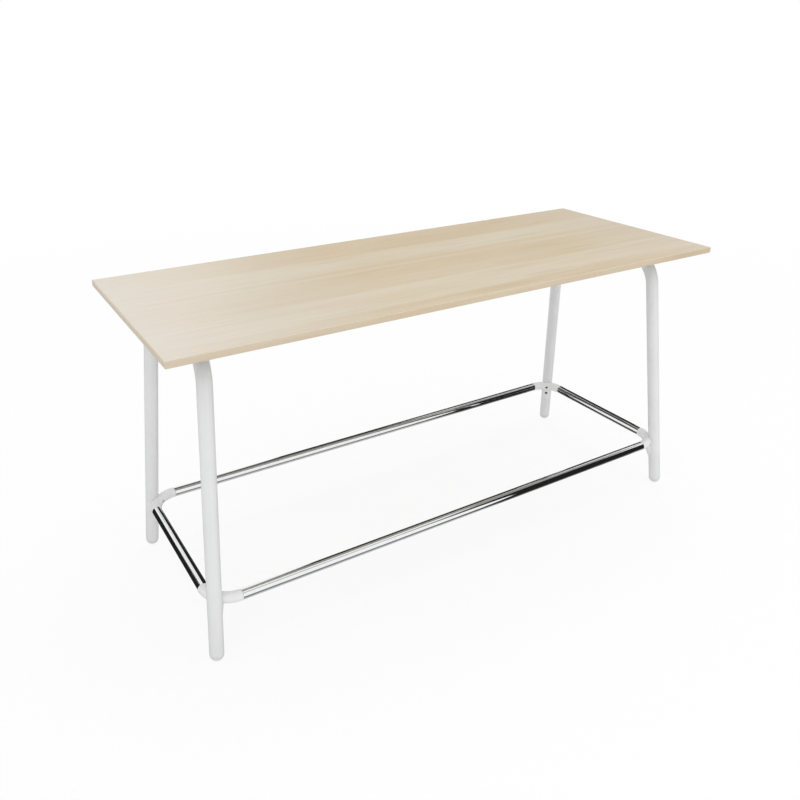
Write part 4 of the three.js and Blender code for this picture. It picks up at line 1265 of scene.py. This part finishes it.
floor_form = bmesh.new()
bmesh.ops.create_circle(floor_form, cap_ends=True, segments=FLOOR_SIDES, radius=FLOOR_RADIUS)
floor = finished(floor_form, "studio_floor", floor_material())
floor.visible_glossy = False

world = bpy.data.worlds.new("white_studio")
bpy.context.scene.world = world
world.use_nodes = True
world_tree = world.node_tree
strength = add_node(world_tree, "ShaderNodeMapRange", Value=background_rays(world_tree),
                    To_Min=WORLD_LIGHT, To_Max=1.0)
world_tree.nodes["Background"].inputs["Color"].default_value = (1, 1, 1, 1)
world_tree.links.new(strength.outputs["Result"], world_tree.nodes["Background"].inputs["Strength"])


def soft_lamp(name, place, target, size, power):
    """A square lamp at a place, facing a target, that no mirror shows."""
    lamp = bpy.data.lights.new(name, "AREA")
    lamp.size = size
    lamp.energy = power
    holder = bpy.data.objects.new(name, lamp)
    bpy.context.scene.collection.objects.link(holder)
    holder.location = place
    holder.rotation_euler = (Vector(target) - Vector(place)).to_track_quat("-Z", "Y").to_euler()
    holder.visible_glossy = False
    return holder


soft_lamp("key", (-2.2, -2.6, 3.2), (0, 0, 0.5), 2.6, 22)
soft_lamp("overhead", (1.0, 0.4, 4.2), (0.3, 0, 0.9), 3.5, 33)
soft_lamp("fill", (1.6, -3.2, 0.5), (0.85, 0.1, 0.2), 1.8, 11)


def card(name, corners, tone):
    """A plain panel of one tone that only mirror-like surfaces see."""
    material = bpy.data.materials.new(name + "_cloth")
    material.use_nodes = True
    tree = material.node_tree
    tree.nodes.remove(tree.nodes["Principled BSDF"])
    cloth = add_node(tree, "ShaderNodeEmission", Color=(tone, tone, tone, 1))
    tree.links.new(cloth.outputs[0], tree.nodes["Material Output"].inputs["Surface"])
    form = bmesh.new()
    form.faces.new([form.verts.new(corner) for corner in corners])
    panel = finished(form, name, material)
    panel.visible_camera = False
    panel.visible_diffuse = False
    panel.visible_transmission = False
    panel.visible_shadow = False


def upright(first, last, low, high):
    """The corners of an upright card between two azimuths and two elevations, seen from the table."""
    bottom = CARD_DISTANCE * math.tan(math.radians(low))
    top = CARD_DISTANCE * math.tan(math.radians(high))
    left, right = [(CARD_DISTANCE * math.sin(math.radians(a)), CARD_DISTANCE * math.cos(math.radians(a)))
                   for a in (first, last)]
    return [(*left, bottom), (*right, bottom), (*right, top), (*left, top)]


def lying(x_range, y_range, height):
    """The corners of a level card."""
    return [(x, y, height) for x, y in zip((x_range[0], x_range[1], x_range[1], x_range[0]),
                                           (y_range[0], y_range[0], y_range[1], y_range[1]))]


for name, first, last, low, high in UPRIGHT_FLAGS:
    card(name, upright(first, last, low, high), FLAG_TONE)
card("ceiling_card", lying((-14, 9), (1.5, 15), CARD_DISTANCE), CEILING_TONE)
card("side_ceiling_card", lying((9, 15), (-10, 5), CARD_DISTANCE), SIDE_CEILING_TONE)
card("front_ceiling_card", lying((2, 15), (-15, -8), CARD_DISTANCE), FRONT_CEILING_TONE)
card("near_floor_card", lying((-10, 10), (-10, 10), -CARD_DISTANCE), NEAR_FLOOR_TONE)
card("far_floor_card", lying((-30, 30), (-30, 30), -CARD_DISTANCE - 0.1), FAR_FLOOR_TONE)

# Camera
# The photograph's viewpoint, found from the edges of the top, the legs and the rails.
CAMERA_PLACE = (-1.276622, -1.916366, 1.560216)
CAMERA_AZIMUTH = math.radians(-31.96)
CAMERA_ELEVATION = math.radians(26.03)
CAMERA_LENS = 34.611
CAMERA_SENSOR = 36.0

camera = bpy.data.cameras.new("photo_camera")
camera.lens = CAMERA_LENS
camera.sensor_width = CAMERA_SENSOR
camera_holder = bpy.data.objects.new("photo_camera", camera)
bpy.context.scene.collection.objects.link(camera_holder)
camera_holder.location = CAMERA_PLACE
level = math.cos(CAMERA_ELEVATION)
back = Vector((math.sin(CAMERA_AZIMUTH) * level, -math.cos(CAMERA_AZIMUTH) * level, math.sin(CAMERA_ELEVATION)))
camera_holder.rotation_euler = (-back).to_track_quat("-Z", "Y").to_euler()
bpy.context.scene.camera = camera_holder
bpy.context.scene.view_settings.view_transform = "Standard"
